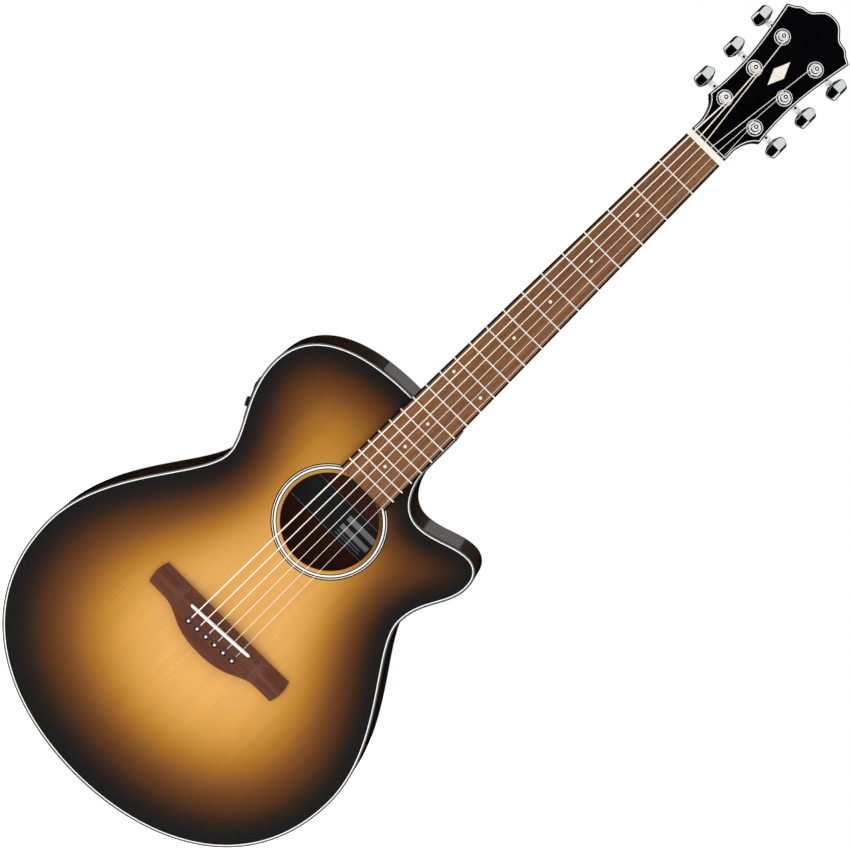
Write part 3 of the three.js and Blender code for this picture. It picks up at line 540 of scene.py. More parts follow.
TOP = sunburst()
RAW_SPRUCE = wood("raw_spruce_edge", srgb(196, 146, 78), srgb(232, 186, 112), 1100, (1, 1, 0.03), 0.6)
BRACE = wood("brace_spruce", srgb(176, 136, 84), srgb(214, 176, 118), 1000, (1, 1, 0.03), 0.65)
INSIDE = wood("bare_mahogany", srgb(70, 34, 14), srgb(100, 52, 24), 900, (1, 1, 0.02), 0.6)
SIDE = dark_side_wood("gloss_side_mahogany")
BACK = dark_side_wood("gloss_back_mahogany")
NECK = dark_side_wood("gloss_neck_mahogany", 0.8)
BLACK_PLY = plastic("black_binding", srgb(9, 9, 9), 0.3, 0.3)
WHITE_PLY = plastic("white_binding", srgb(244, 242, 236), 0.3, 0.5, 0.02)
GREY_PLY = plastic("thin_white_ply", srgb(150, 150, 148), 0.35, 0.2, 0.03)
HEAD_BLACK = plastic("gloss_black_face", srgb(4, 4, 6), 0.1, 1.0, 0.15, 0.002)
BOARD = wood("walnut_board", srgb(106, 67, 38), srgb(144, 97, 58), 1300, (1, 1, 0.02), 0.5,
             pores=0.6, relief=0.05)
BOARD_EDGE = wood("dark_board_edge", srgb(11, 7, 6), srgb(22, 15, 12), 1000, (1, 1, 0.025), 0.4)
BRIDGE_WOOD = wood("walnut_bridge", srgb(82, 40, 24), srgb(112, 62, 40), 800, (0.03, 1, 1), 0.38,
                   coat=0.3, pores=0.62, relief=0.07)
# Near-black colour put on the floors and walls of slots, grooves and bores: painted shade for the shade that
# falls in them.
RECESS_SHADE = plastic("painted_recess_shade", srgb(20, 13, 11), 0.7)
BONE = plastic("bone", srgb(232, 228, 216), 0.32, 0.2, 0.03, 0.012)
PEARL = pearl("pearl", srgb(238, 232, 222))
FRET_METAL = metal("fret_nickel", srgb(255, 246, 232), 0.3, 0.006, metallic=0.35)
WIRE = metal("plain_steel", srgb(255, 253, 246), 0.3, wear=0.02, metallic=0.1)
WRAP_WIRE = wound_wire()
CHROME = metal("chrome", srgb(232, 233, 236), 0.08, 0.001, 0.03)
NICKEL = metal("bright_nickel", srgb(252, 252, 254), 0.18, 0.002, 0.02, metallic=0.2)
PIN_BLACK = plastic("pin_plastic", srgb(14, 14, 14), 0.14, 1.0)
PIN_SHADER = PIN_BLACK.node_tree.nodes["Principled BSDF"]
PIN_SHADER.inputs["Specular IOR Level"].default_value = 1
CASE_BLACK = plastic("matt_black_case", srgb(22, 22, 23), 0.42, 0, 0.08, 0.03, 1600)
KNOB_BLACK = plastic("knob_black", srgb(17, 17, 18), 0.3, 0.3, 0.08, 0.015)
MARK_WHITE = plastic("mark_white", srgb(225, 225, 222), 0.5)
LAMP_RED = plastic("lamp_red", srgb(120, 14, 12), 0.12, 1.0)
SCREEN = plastic("dark_screen", srgb(10, 12, 13), 0.06, 1.0, 0.04, 0.001)
CARD = plastic("label_card", srgb(42, 45, 52), 0.6, 0, 0.1, 0.02, 1500)
CARD_GREY = plastic("label_grey", srgb(180, 183, 188), 0.65, 0, 0.12, 0.02, 1500)
CARD_LINE = plastic("label_line", srgb(160, 164, 170), 0.65, 0, 0.12, 0.02, 1500)


# ---- outline of the body ----
def body_outline():
    """Counter-clockwise from the tail: treble side first, then the cutaway, the neck and the bass side."""
    low, waist = (187.6, -681.5), (112.8, -512)
    tip, top, cut = (134.5, -444.3), (114.6, -422.1), (61.4, -434.2)
    upper = (-142.4, -421.6)
    runs = [
        ((0, TAIL_Z), (100, TAIL_Z), (low[0], -785.5), low, 60),
        (low, (low[0], -606), (waist[0], -545.5), waist, 46),
        (waist, (waist[0], -482.4), (tip[0], -469.1), tip, 26),
        (tip, (tip[0], -430.9), (127.2, top[1]), top, 16),
        (top, (96.5, top[1]), (80.3, cut[1]), cut, 18),
        (cut, (39, cut[1]), (30, -408.7), (30, -388), 22),
        ((30, -388), (30, -376), (30, -364), (30, NECK_JOINT_Z), 6),
        ((30, NECK_JOINT_Z), (10, NECK_JOINT_Z), (-10, NECK_JOINT_Z), (-30, NECK_JOINT_Z), 10),
        ((-30, NECK_JOINT_Z), (-97.8, NECK_JOINT_Z), (upper[0], -374.8), upper, 46),
        (upper, (upper[0], -461.9), (-waist[0], -489.4), (-waist[0], waist[1]), 34),
        ((-waist[0], waist[1]), (-waist[0], -545.5), (-low[0], -606), (-low[0], low[1]), 46),
        ((-low[0], low[1]), (-low[0], -785.5), (-100, TAIL_Z), (0, TAIL_Z), 60),
    ]
    return [point for run in runs for point in bezier(*run)]


OUTLINE = body_outline()
BASS_WAIST = ((-142.4, -421.6), (-142.4, -461.9), (-112.8, -489.4), (-112.8, -512))


def back_level(z, offset=0):
    share = (NECK_JOINT_Z - z) / (NECK_JOINT_Z - TAIL_Z)
    return DEPTH_AT_NECK + (DEPTH_AT_TAIL - DEPTH_AT_NECK) * share + offset


def flat(y):
    return lambda x, z: y


def off_back(offset):
    return lambda x, z: back_level(z, offset)


# ---- body ----
PURFLING_END = 3.4


def spray_depths(spots):
    """How far in from the edge the spray makes each spot look, over 100 mm. It adds up the whole edge,
    so a spot in a bulge of the outline comes out darker than one beside a hollow."""
    edge = np.array(OUTLINE, float)
    steps = np.roll(edge, -1, 0) - edge
    middles = edge + steps / 2
    lengths = np.linalg.norm(steps, axis=1)
    found = []
    for x, z in spots:
        away = np.hypot(middles[:, 0] - x, middles[:, 1] - z)
        reach = math.sqrt(2 / (lengths / np.maximum(away, 1.5) ** 3).sum())
        shift = 1 + 0.2 * (z + 600) / 200 + 0.04 * x / 150
        found.append(reach * shift / 100)
    return found


def soundboard():
    hole = circle(HOLE_RADIUS, 96, (0, HOLE_Z))
    inner = circle(ROSETTE_INNER, 96, (0, HOLE_Z))
    outer = circle(ROSETTE_OUTER, 96, (0, HOLE_Z))
    board = sheet(inset(OUTLINE, PURFLING_END), [outer], 5, flat(0), flat(TOP_THICK), (0, 1, 1))
    ring = sheet(inner, [hole], 3, flat(0), flat(TOP_THICK), (0, 1, 1))
    board.add(ring.points, ring.faces, ring.finish)
    spray = spray_depths([(p.x, p.z) for p in board.points])
    make("spruce_top", board, [TOP, RAW_SPRUCE], ["soundboard"], values={"spray": spray})


def rosette():
    """Black and white rings let into the top."""
    widths = [(0.9, 0), (1.65, 1), (1.35, 0), (0.6, 1), (1.2, 0)]
    radii = [ROSETTE_INNER]
    for width, _ in widths:
        radii.append(radii[-1] + width)
    loops = [[Vector((x, 0, z)) for x, z in circle(r, 128, (0, HOLE_Z))] for r in radii]
    loops += [[Vector((x, 0.9, z)) for x, z in circle(r, 128, (0, HOLE_Z))] for r in (radii[-1], radii[0])]
    shape = Shape()
    shape.skin(loops, [kind for _, kind in widths] + [0, 0, 0], wrap=True)
    make("rosette_rings", shape, [BLACK_PLY, WHITE_PLY, GREY_PLY], ["rosette"])


def binding():
    """Black binding with a rounded outer corner, then the plies beside the top."""
    corner = [(0, BINDING_DEEP), (0, 0.45), (0.07, 0.2), (0.2, 0.07), (0.45, 0)]
    plies = [(0.8, 0), (1.1, 1), (1.7, 0), (2.65, 2)]
    section = [(d, flat(y)) for d, y in corner]
    bands = [0] * (len(corner) - 1)
    for end, kind in plies:
        section.append((end, flat(0)))
        bands.append(kind)
    section += [(PURFLING_END, flat(0)), (PURFLING_END, flat(1.4)), (RIM_THICK, flat(1.5)),
                (RIM_THICK, flat(BINDING_DEEP))]
    bands += [0] * (len(section) - len(bands))
    front = ring_sweep(OUTLINE, section, bands)
    make("front_binding_plies", front, [BLACK_PLY, GREY_PLY, WHITE_PLY], ["front_binding"],
         crease=50)
    back = [(0, -BINDING_DEEP), (0, -0.9), (0.1, -0.5), (0.3, -0.2), (0.6, 0), (1.3, 0), (1.9, 0),
            (RIM_THICK, 0), (RIM_THICK, -BINDING_DEEP)]
    section = [(d, off_back(y)) for d, y in back]
    shape = ring_sweep(OUTLINE, section, [0, 0, 0, 0, 0, 1, 0, 0, 0])
    make("back_binding_plies", shape, [BLACK_PLY, WHITE_PLY], ["back_binding"], crease=50)


def sides():
    section = [
        (0, flat(BINDING_DEEP)), (0, off_back(-BINDING_DEEP)),
        (RIM_THICK, off_back(-BINDING_DEEP)), (RIM_THICK, flat(BINDING_DEEP)),
    ]
    shape = ring_sweep(OUTLINE, section, [0, 0, 1, 0])
    make("bent_sides", shape, [SIDE, INSIDE], ["side_rim"])


def back_plate():
    """A shallow dome that ends at the rim, gloss outside and bare inside; the dark strip down the middle of
    its outside is not drawn.
    """
    rim = inset(OUTLINE, RIM_THICK)
    rings = 18
    loops = []

    def level(r, offset):
        loop = []
        for x, z in rim:
            px = BODY_CENTRE[0] + r * (x - BODY_CENTRE[0])
            pz = BODY_CENTRE[1] + r * (z - BODY_CENTRE[1])
            loop.append(Vector((px, back_level(pz) + BACK_DOME * (1 - r * r) - offset, pz)))
        return loop

    shares = [max(k / rings, 1e-4) for k in range(rings + 1)]
    loops = [level(r, BACK_THICK) for r in shares] + [level(r, 0) for r in reversed(shares)]
    shape = Shape()
    shape.skin(loops, [1] * rings + [0] + [0] * rings, caps=(False, False))
    make("domed_back", shape, [BACK, INSIDE], ["back_plate"])


def label():
    """A dark card with grey rules and blank grey bars, and nothing written on it."""
    place = Matrix.Translation((0, back_level(LABEL_Z) - BACK_THICK + 1.1, LABEL_Z))
    place = place @ Matrix.Rotation(BACK_TILT, 4, "X")
    half = LABEL_TALL / 2
    card = block(Shape(), (-LABEL_HALF, -LABEL_THICK, -half), (LABEL_HALF, 0, half), 0, place)
    make("label_card", card, [CARD], ["label"])
    marks = Shape()
    front = -LABEL_THICK - 0.05
    for top, bottom, left, right, kind in (
        (0.3, 0.8, -53, 53, 1), (LABEL_TALL - 0.8, LABEL_TALL - 0.3, -53, 53, 1),
        (7.9, 13.6, 11.2, 46, 0), (18.2, 23.4, 11.2, 46, 0), (26, 27, 11.2, 41, 1), (29, 29.8, 11.2, 43, 1),
    ):
        block(marks, (left, front, half - bottom), (right, -LABEL_THICK + 0.1, half - top), kind, place)
    make("label_bars", marks, [CARD_GREY, CARD_LINE])


# ---- neck and headstock ----
def board_width(z):
    return NUT_WIDTH + (JOINT_WIDTH - NUT_WIDTH) * min(z, 0) / NECK_JOINT_Z


def crown_drop(x):
    return x * x / (2 * CROWN)


def fret_z(n):
    return -SCALE * (1 - 2 ** (-n / 12))


def neck_shaft():
    """The neck's round back, its heel, and its fairing into the headstock."""
    heel_start, heel_curve, heel_deep = -300, 34, 61
    stations = [17, 13, 9.5, 6, 3, 0, -20, -60, -120, -180, -240, -280, -294]
    stations += [heel_start - heel_curve * k / 14 for k in range(15)]
    stations += [-338, -344, -351.8]
    loops = []
    for z in stations:
        t = min(max((heel_start - z) / heel_curve, 0), 1)
        if z > 0:
            depth = 15 + 0.06 * z
        elif t == 0:
            depth = 15 + 2.5 * z / heel_start
        else:
            depth = 17.5 + (heel_deep - 17.5) * (1 - math.sqrt(max(0, 1 - t * t)))
        front = max(0, (z - NUT_LENGTH) * math.tan(HEAD_TILT)) + (0.35 if z > 4 else 0)
        half = board_width(z) / 2 - (0.4 * z / 17 if z > 0 else 0)
        loop = []
        for i in range(33):
            angle = math.pi * i / 32
            deep = math.sin(angle) ** (0.85 - 0.25 * t)
            narrow = 1 - 0.42 * t * deep**2.5
            loop.append(Vector((half * math.cos(angle) * narrow, front + (depth - front) * deep, z)))
        loops.append(loop)
    shape = Shape()
    shape.skin(loops)
    make("neck_shaft", shape, [NECK], ["neck"], crease=40)


def head_outline():
    """The headstock's face in its own frame, counter-clockwise."""
    runs = [
        ((0, 165.2), (6, 165.2), (9.5, 163.2), (12, 160.6), 8),
        ((12, 160.6), (16, 156.6), (17.5, 153.2), (22, 152.6), 8),
        ((22, 152.6), (27, 152), (29, 151.4), (31.5, 148.6), 6),
        ((31.5, 148.6), (33.5, 146.4), (36.5, 145.8), (39.8, 143.6), 6),
        ((39.8, 143.6), (36.5, 125), (31, 98), (30.4, 72), 14),
        ((30.4, 72), (30.2, 58), (30.6, 46), (32.4, 34.2), 10),
        ((32.4, 34.2), (26, 30.5), (22.4, 24), (20.6, 11), 14),
    ]
    right = [point for run in runs for point in bezier(*run)]
    right += [(20.6, 11), (21.2, GAP)]
    left = [(-x, z) for x, z in reversed(right[1:])]
    return list(reversed(right + left))


def stacked(outline, levels, finish=0, place=None):
    """An outline at several depths: levels are (inset, y), front first."""
    place = place or Matrix.Identity(4)
    loops = [[place @ Vector((x, y, z)) for x, z in inset(outline, d)] for d, y in levels]
    shape = Shape()
    shape.skin(loops, finish)
    return shape


def headstock():
    outline = head_outline()
    core = stacked(outline, [(0, GAP), (0, HEAD_CORE - 1.6), (0.35, HEAD_CORE - 0.6), (1.2, HEAD_CORE)])
    make("headstock_core", core, [HEAD_BLACK], place=HEAD, crease=38)
    face = [(0.02, 0), (0, -HEAD_VENEER + 0.35), (0.12, -HEAD_VENEER + 0.1), (0.35, -HEAD_VENEER),
            (1.2, -HEAD_VENEER), (1.9, -HEAD_VENEER)]
    shape = stacked(outline, face, [0, 0, 0, 0, 1])
    shape.finish[-1] = 0
    make("headstock_face", shape, [HEAD_BLACK, WHITE_PLY], ["headstock_veneer"],
         place=HEAD, crease=50)
    lozenge = [(0, -15), (3.1, -7.5), (6.4, 0), (3.1, 7.5), (0, 15), (-3.1, 7.5), (-6.4, 0), (-3.1, -7.5)]
    lozenge = [(x, z + 92) for x, z in lozenge]
    inlay = stacked(lozenge, [(0, -HEAD_VENEER + 0.5), (0, -HEAD_VENEER - 0.03), (0.08, -HEAD_VENEER - 0.05)])
    make("lozenge_inlay", inlay, [PEARL], place=HEAD)


def fingerboard():
    """A crowned board with softened edges; its sides and end are darker than its face."""
    loops = []
    for z in (0, *[BOARD_END * k / 12 for k in range(1, 13)]):
        half = board_width(z) / 2
        xs = [half - 0.3, half - 1.9]
        xs += [(half - 1.9) * (1 - 2 * i / 12) for i in range(1, 12)]
        xs += [-x for x in reversed(xs[:2])]
        rim = crown_drop(half) + 0.35 - BOARD_THICK
        loop = [Vector((half, 0, z)), Vector((half, rim, z))]
        loop += [Vector((x, crown_drop(x) - BOARD_THICK, z)) for x in xs]
        loop += [Vector((-half, rim, z)), Vector((-half, 0, z))]
        loops.append(loop)
    shape = Shape()
    shape.skin(loops)
    around = len(loops[0])
    bands = [1, 1, 1] + [0] * 12 + [1, 1, 1, 1]
    for k in range(around * (len(loops) - 1)):
        shape.finish[k] = bands[k % around]
    shape.finish[-2:] = [1, 1]
    make("walnut_fingerboard", shape, [BOARD, BOARD_EDGE], ["fingerboard"])


def frets():
    steps = 20
    for n in range(1, FRET_COUNT + 1):
        z = fret_z(n)
        half = board_width(z) / 2 - 0.05
        loops = []
        for i in range(steps + 1):
            u = 1 - 2 * i / steps
            x = half * u
            low = 0.75 if abs(u) == 1 else 1
            loop = []
            for k in range(9):
                angle = math.pi * k / 8
                rise = FRET_HEIGHT * low * math.sin(angle) ** 0.8
                loop.append(Vector((x, crown_drop(x) - BOARD_THICK - rise,
                                    z + FRET_WIDTH / 2 * math.cos(angle))))
            loop += [Vector((x, crown_drop(x) - BOARD_THICK + 0.6, z - 0.6)),
                     Vector((x, crown_drop(x) - BOARD_THICK + 0.6, z + 0.6))]
            loops.append(loop)
        shape = Shape()
        shape.skin(loops)
        make(f"fret_{n:02d}", shape, [FRET_METAL], crease=60)


def position_dots():
    places = [(0, n) for n in (3, 5, 7, 9, 15, 17, 19)] + [(-17.3, 12), (17.3, 12)]
    shape = Shape()
    for x, n in places:
        z = (fret_z(n) + fret_z(n - 1)) / 2
        top = crown_drop(x) - BOARD_THICK
        place = Matrix.Translation((x, top, z)) @ Matrix.Rotation(x / CROWN, 4, "Z")
        turned([(1.5, 0.8), (1.6, 0.2), (1.6, -0.02), (1.5, -0.05), (0, -0.06)], 32, 0, shape, place)
    make("position_dots", shape, [PEARL])


def notched(half, low, top, notches, depth_of, end_drop=0):
    """Points of a bar seen along Z: a crowned edge at y = top with a round notch for each string."""
    points = [(half, low), (half, top(half) + end_drop)]
    xs = [half - 0.8]
    for x, r in sorted(notches, reverse=True):
        xs += [x + r, x + r * 0.7, x, x - r * 0.7, x - r]
    xs.append(0.8 - half)
    for x in xs:
        sunk = 0
        for centre, r in notches:
            if abs(x - centre) < r * 0.99:
                sunk = depth_of(r) * math.sqrt(1 - ((x - centre) / r) ** 2)
        points.append((x, top(x) + sunk))
    points += [(-half, top(half) + end_drop), (-half, low)]
    return points


def string_at_nut(i):
    return (i - 2.5) * NUT_PITCH


def string_at_saddle(i):
    return (i - 2.5) * SADDLE_PITCH


def extruded(points, z0, z1, place=None):
    place = place or Matrix.Identity(4)
    shape = Shape()
    shape.skin([[place @ Vector((x, y, z)) for x, y in points] for z in (z0, z1)])
    return shape


def nut():
    notches = [(string_at_nut(i), STRING_RADII[i] + 0.04) for i in range(6)]
    points = notched(NUT_WIDTH / 2, 0, lambda x: crown_drop(x) - NUT_TOP - 0.35, notches,
                     lambda r: r + 0.15, 0.5)
    piece = make("bone_nut", extruded(points, 0.02, NUT_LENGTH), [BONE], ["nut"])
    soften(piece, 0.35, 3, 50)


# ---- bridge ----
def pin_z(x):
    return PIN_Z + PIN_SLANT * x


def saddle_z(x):
    return SADDLE_Z + math.tan(SADDLE_SLANT) * x


def bridge_outline():
    front, wing, belly = BRIDGE_FRONT, BRIDGE_WING, BRIDGE_BELLY
    end, bulge = BRIDGE_HALF - 2.5, BRIDGE_HALF + 0.83
    right = bezier((0, belly), (36, belly), (40, wing), (58, wing), 24)
    right += bezier((58, wing), (64, wing), (72, wing), (end, wing), 6)
    right += bezier((end, wing), (bulge, wing + 8), (bulge, front - 8), (end, front), 16)
    right += bezier((end, front), (50, front), (25, front), (0, front), 20)
    left = [(-x, z) for x, z in reversed(right[1:])]
    return right + [(0, front)] + left


BRIDGE_RIDGE = 47


def bridge_height(x):
    """Full height in the middle; past a crisp ridge each wing sweeps down to its thin end."""
    t = min(max((abs(x) - BRIDGE_RIDGE) / (BRIDGE_HALF - BRIDGE_RIDGE), 0), 1)
    return WING_THICK + (BRIDGE_THICK - WING_THICK) * (1 - t) ** 3.4


def bridge():
    outline = bridge_outline()
    saddle_loop = []
    for u, v in rounded_box(SADDLE_LENGTH / 2 + 0.5, SADDLE_WIDTH / 2 + 0.45, 1.6):
        x = u * math.cos(SADDLE_SLANT) - v * math.sin(SADDLE_SLANT)
        z = u * math.sin(SADDLE_SLANT) + v * math.cos(SADDLE_SLANT)
        saddle_loop.append((x, SADDLE_Z + z))
    bevels = [(0, None), (0, 1.1), (0.3, 0.4), (0.9, 0.05), (1.3, 0)]
    shape = Shape()
    loops = []
    for distance, drop in bevels:
        loop = []
        for (x, z), (sx, _) in zip(inset(outline, distance), outline):
            y = 0 if drop is None else drop - bridge_height(sx)
            loop.append(Vector((x, y, z)))
        loops.append(loop)
    shape.skin(loops, 0, caps=(True, False))
    ridges = [[(side * BRIDGE_RIDGE, BRIDGE_FRONT - 1.3 - 2.4 * k) for k in range(11)] for side in (-1, 1)]
    spots, triangles = fill(inset(outline, 1.3), [saddle_loop], 4, ridges)
    shape.add([(x, -bridge_height(x), z) for x, z in spots], triangles, 0)
    # The slot's walls and floor round the saddle take the near-black finish: painted shade in the gap.
    walls = [[Vector((x, y, z)) for x, z in saddle_loop] for y in (-bridge_height(0), -3.2)]
    shape.skin(walls, 1, caps=(False, True))
    piece = make("pin_bridge", shape, [BRIDGE_WOOD, RECESS_SHADE], ["bridge"], crease=40)
    crisp(piece, lambda p: abs(abs(p.x) - BRIDGE_RIDGE) < 0.01 and p.y < -7)


def saddle():
    """Bone, rounded along its crest, standing in its slot at a slight slant."""
    length, half = 40, SADDLE_WIDTH / 2
    place = Matrix.Translation((0, 0, SADDLE_Z)) @ Matrix.Rotation(-SADDLE_SLANT, 4, "Y")
    loops = []
    for i in range(length + 1):
        u = 1 - 2 * i / length
        x = u * SADDLE_LENGTH / 2
        round_end = math.sqrt(max(0.02, 1 - max(0, (abs(x) - 35.5) / 1.5) ** 2))
        top = crown_drop(x) - SADDLE_TOP + 1.1 * max(0, (abs(u) - 0.88) / 0.12) ** 2
        wide = half * round_end
        loop = [(x, -1.9, wide), (x, -4, wide)]
        loop += [(x, top + 0.9 * (1 - math.sin(a)), wide * math.cos(a))
                 for a in (math.pi * k / 8 for k in range(9))]
        loop += [(x, -4, -wide), (x, -1.9, -wide)]
        loops.append([place @ Vector(p) for p in loop])
    shape = Shape()
    shape.skin(loops)
    make("bone_saddle", shape, [BONE], ["saddle"], crease=50)


def bridge_pins():
    for i in range(6):
        x = string_at_saddle(i)
        place = Matrix.Translation((x, 0, pin_z(x)))
        top = -BRIDGE_THICK
        profile = [(1.6, 19), (2.0, 17), (2.45, 0), (2.5, top), (2.9, top - 0.15), (3.3, top - 0.35),
                   (3.3, top - 0.8), (3.05, top - 1.15), (2.6, top - 1.3), (2.35, top - 1.55),
                   (1.9, top - 2.1), (1.25, top - 2.45)]
        dot = [(1.2, top - 2.44), (1.1, top - 2.55), (0.6, top - 2.6), (0, top - 2.6)]
        bands = [0] * (len(profile) - 1) + [1] * len(dot)
        shape = turned(profile + dot, 32, bands)
        make(f"pin_{i + 1}", shape, [PIN_BLACK, PEARL], [f"bridge_pin_{i + 1}"],
             place=place, crease=45)


# ---- strings ----
WRAP_TURNS, WRAP_CORE, WRAP_HEIGHT, WRAP_CLEAR = 1.5, 2.6, 6.9, 0.35
WRAP_STEPS = 28


def string_route(i):
    """From the pin's slot over the saddle, along the neck, over the nut and round the post."""
    r = STRING_RADII[i]
    xs, xn = string_at_saddle(i), string_at_nut(i)
    slot_z = pin_z(xs) + 1.75
    y_saddle = crown_drop(xs) - SADDLE_TOP - r - 0.05
    y_nut = crown_drop(xn) - NUT_TOP - r - 0.05
    rest = SADDLE_WIDTH / 2 + 0.2
    route = [
        (xs, 9, slot_z), (xs, -5.6, slot_z), (xs, -6.6, slot_z + 0.3), (xs, -7.2, slot_z + 1.2),
        (xs, -7.6, slot_z + 2.4), (xs, y_saddle + 0.5, saddle_z(xs) - rest - 0.5),
        (xs, y_saddle, saddle_z(xs)), (xs, y_saddle, saddle_z(xs) + rest),
        (xn, y_nut, -0.2), (xn, y_nut, NUT_LENGTH + 0.2),
    ]
    route = [Vector(p) for p in route]
    side = -1 if i < 3 else 1
    post = POSTS[i if i < 3 else 5 - i]
    centre = Vector((side * post[0], post[1]))
    start = HEAD.inverted() @ route[-1]
    radius = WRAP_CORE + WRAP_CLEAR + r
    towards = centre - Vector((start.x, start.z))
    touch = math.atan2(towards.y, towards.x) + math.pi - side * math.acos(radius / towards.length)
    pitch = 2 * r + 0.15
    for k in range(int(WRAP_TURNS * WRAP_STEPS) + 1):
        turn = k / WRAP_STEPS
        angle = touch - side * TAU * turn
        route.append(HEAD @ Vector((
            centre.x + radius * math.cos(angle),
            -WRAP_HEIGHT - pitch * turn,
            centre.y + radius * math.sin(angle),
        )))
    return route


def strings():
    for i in range(6):
        wound = i < WOUND
        shape = tube(string_route(i), STRING_RADII[i], 12)
        make(f"wire_{i + 1}", shape, [WRAP_WIRE if wound else WIRE],
             [f"string_{i + 1}"], crease=80)


# ---- tuning machines, in the headstock's frame with the post's axis through the origin ----
def tuner_housing(number, side, place):
    back = HEAD_CORE + GAP
    outline = rounded_box(9, 8.75, 3)
    outline = [(x + side * 2, z + 0.75) for x, z in outline]
    shape = stacked(outline, [(0.4, back), (0, back + 0.4), (0, back + 8.6), (0.5, back + 9.9),
                              (1.7, back + 10.7), (3.2, back + 11)])
    sleeve = Matrix.Translation((0, WORM_DEPTH, GEAR_CENTRES)) @ Matrix.Rotation(-side * TAU / 4, 4, "Z")
    turned([(3.3, 9), (3.3, 16.6), (3.05, 17), (3.05, 17.5), (3.3, 17.9), (3.3, 18.8), (3, SLEEVE_END)],
           32, 1, shape, sleeve)
    face = -HEAD_VENEER - GAP
    # The groove inside the washer's rim takes the near-black finish: painted shade in the recess.
    turned([(4.6, HEAD_CORE + 1), (4.6, face), (7.5, face + 0.05), (7.7, face - 0.1), (7.7, face - 0.9),
            (7.6, face - 1), (7.05, face - 1), (6.95, face - 0.9), (6.9, face - 0.4), (5.6, face - 0.4)], 48,
           [1] * 6 + [2] * 3, shape)
    hexagon = [(6.1, face - 0.3), (6.1, face - 1.7), (5.9, face - 1.9)]
    loops = []
    for radius, y in hexagon:
        loop = []
        for k in range(48):
            angle = TAU * k / 48
            wedge = (angle + TAU / 12) % (TAU / 6) - TAU / 12
            reach = radius * math.cos(TAU / 12) / math.cos(wedge)
            loop.append(Vector((reach * math.cos(angle), y, reach * math.sin(angle))))
        loops.append(loop)
    loops += [[Vector((x, y, z)) for x, z in circle(r, 48)] for r, y in
              ((5.6, face - 2.1), (4.5, face - 2.2), (4.2, face - 2.1), (4.1, face - 1.6), (3.6, face + 2))]
    # The bore of the nut round the post takes the near-black finish: painted shade in the gap between them.
    shape.skin(loops, [1] * 5 + [2] * 2)
    for screw_z in (-5.6, 7.4):
        at = Matrix.Translation((-side * 4.2, back + 10.95, screw_z))
        turned([(1.5, -0.8), (1.5, 0), (1.2, 0.05), (0.8, 0.05), (0.7, -0.25), (0, -0.3)], 20, 0, shape, at)
    make(f"housing_{number}", shape, [CHROME, NICKEL, RECESS_SHADE], [f"tuner_housing_{number}"],
         place=place, crease=35)
    dot = Matrix.Translation((side * 14.2, WORM_DEPTH - 3.28, GEAR_CENTRES))
    screw = turned([(1.25, 0.6), (1.25, -0.08), (0.8, -0.12), (0, -0.12)], 20, 0, None, dot)
    make(f"housing_screw_{number}", screw, [PIN_BLACK], place=place)


def string_post(number, place):
    front = -13.5
    profile = [
        (2.7, 20.8), (2.8, 20.6), (2.8, 16.4), (2.6, 16.2), (1.8, 16.2), (1.8, 13.8), (2.9, 13.6),
        (2.9, -5.7), (2.75, -6), (2.6, -6.5), (2.6, -9.2), (2.8, -9.6), (3, -9.9), (3, front + 0.7),
        (2.85, front + 0.25), (2.55, front), (2.25, front + 0.1), (2.1, front + 0.4), (2.05, front + 1),
        (1, front + 1), (0.95, front + 0.4), (0.7, front + 0.2), (0, front + 0.15),
    ]
    # The recess in the top of the post takes the near-black finish: painted shade.
    bands = [0] * (len(profile) - 6) + [1, 1, 0, 0, 0]
    make(f"post_pin_{number}", turned(profile, 40, bands), [NICKEL, RECESS_SHADE],
         [f"string_post_{number}"], f"post_{number}", place, 35)


BUTTON_INNER, BUTTON_OUTER = 19.6, 34.6
BUTTON_SHOWN = 0.92  # the part of the CAD button's length that shows
BUTTON_EDGE = [  # distance out from the post, reach up, reach down
    (19.6, 2.2, 2.2), (20.6, 5.6, 5.2), (22.2, 9.2, 8.4), (23.9, 11.4, 10.2), (25.6, 12.1, 10.7),
    (27.6, 12.0, 10.6), (29.8, 11.3, 10.0), (32, 10.3, 9.1), (33.6, 9.2, 8.2), (34.3, 8.2, 7.3),
    (34.6, 6.8, 6.0),
]


def button_section(above, below, thick, rows=9):
    """A flat hexagon seen end on, with a ridge along its middle and a rounded rim."""
    front = [(0.86 * k / rows, 1 - 0.48 * 0.86 * k / rows) for k in range(rows + 1)]
    front += [(0.93, 0.47), (0.975, 0.3), (1, 0)]
    quarter = [(share * above, depth * thick) for share, depth in front]
    lower = [(-share * below, depth * thick) for share, depth in front]
    return (quarter + [(h, -d) for h, d in reversed(quarter[:-1])]
            + [(h, -d) for h, d in lower[1:]] + list(reversed(lower[1:-1])))


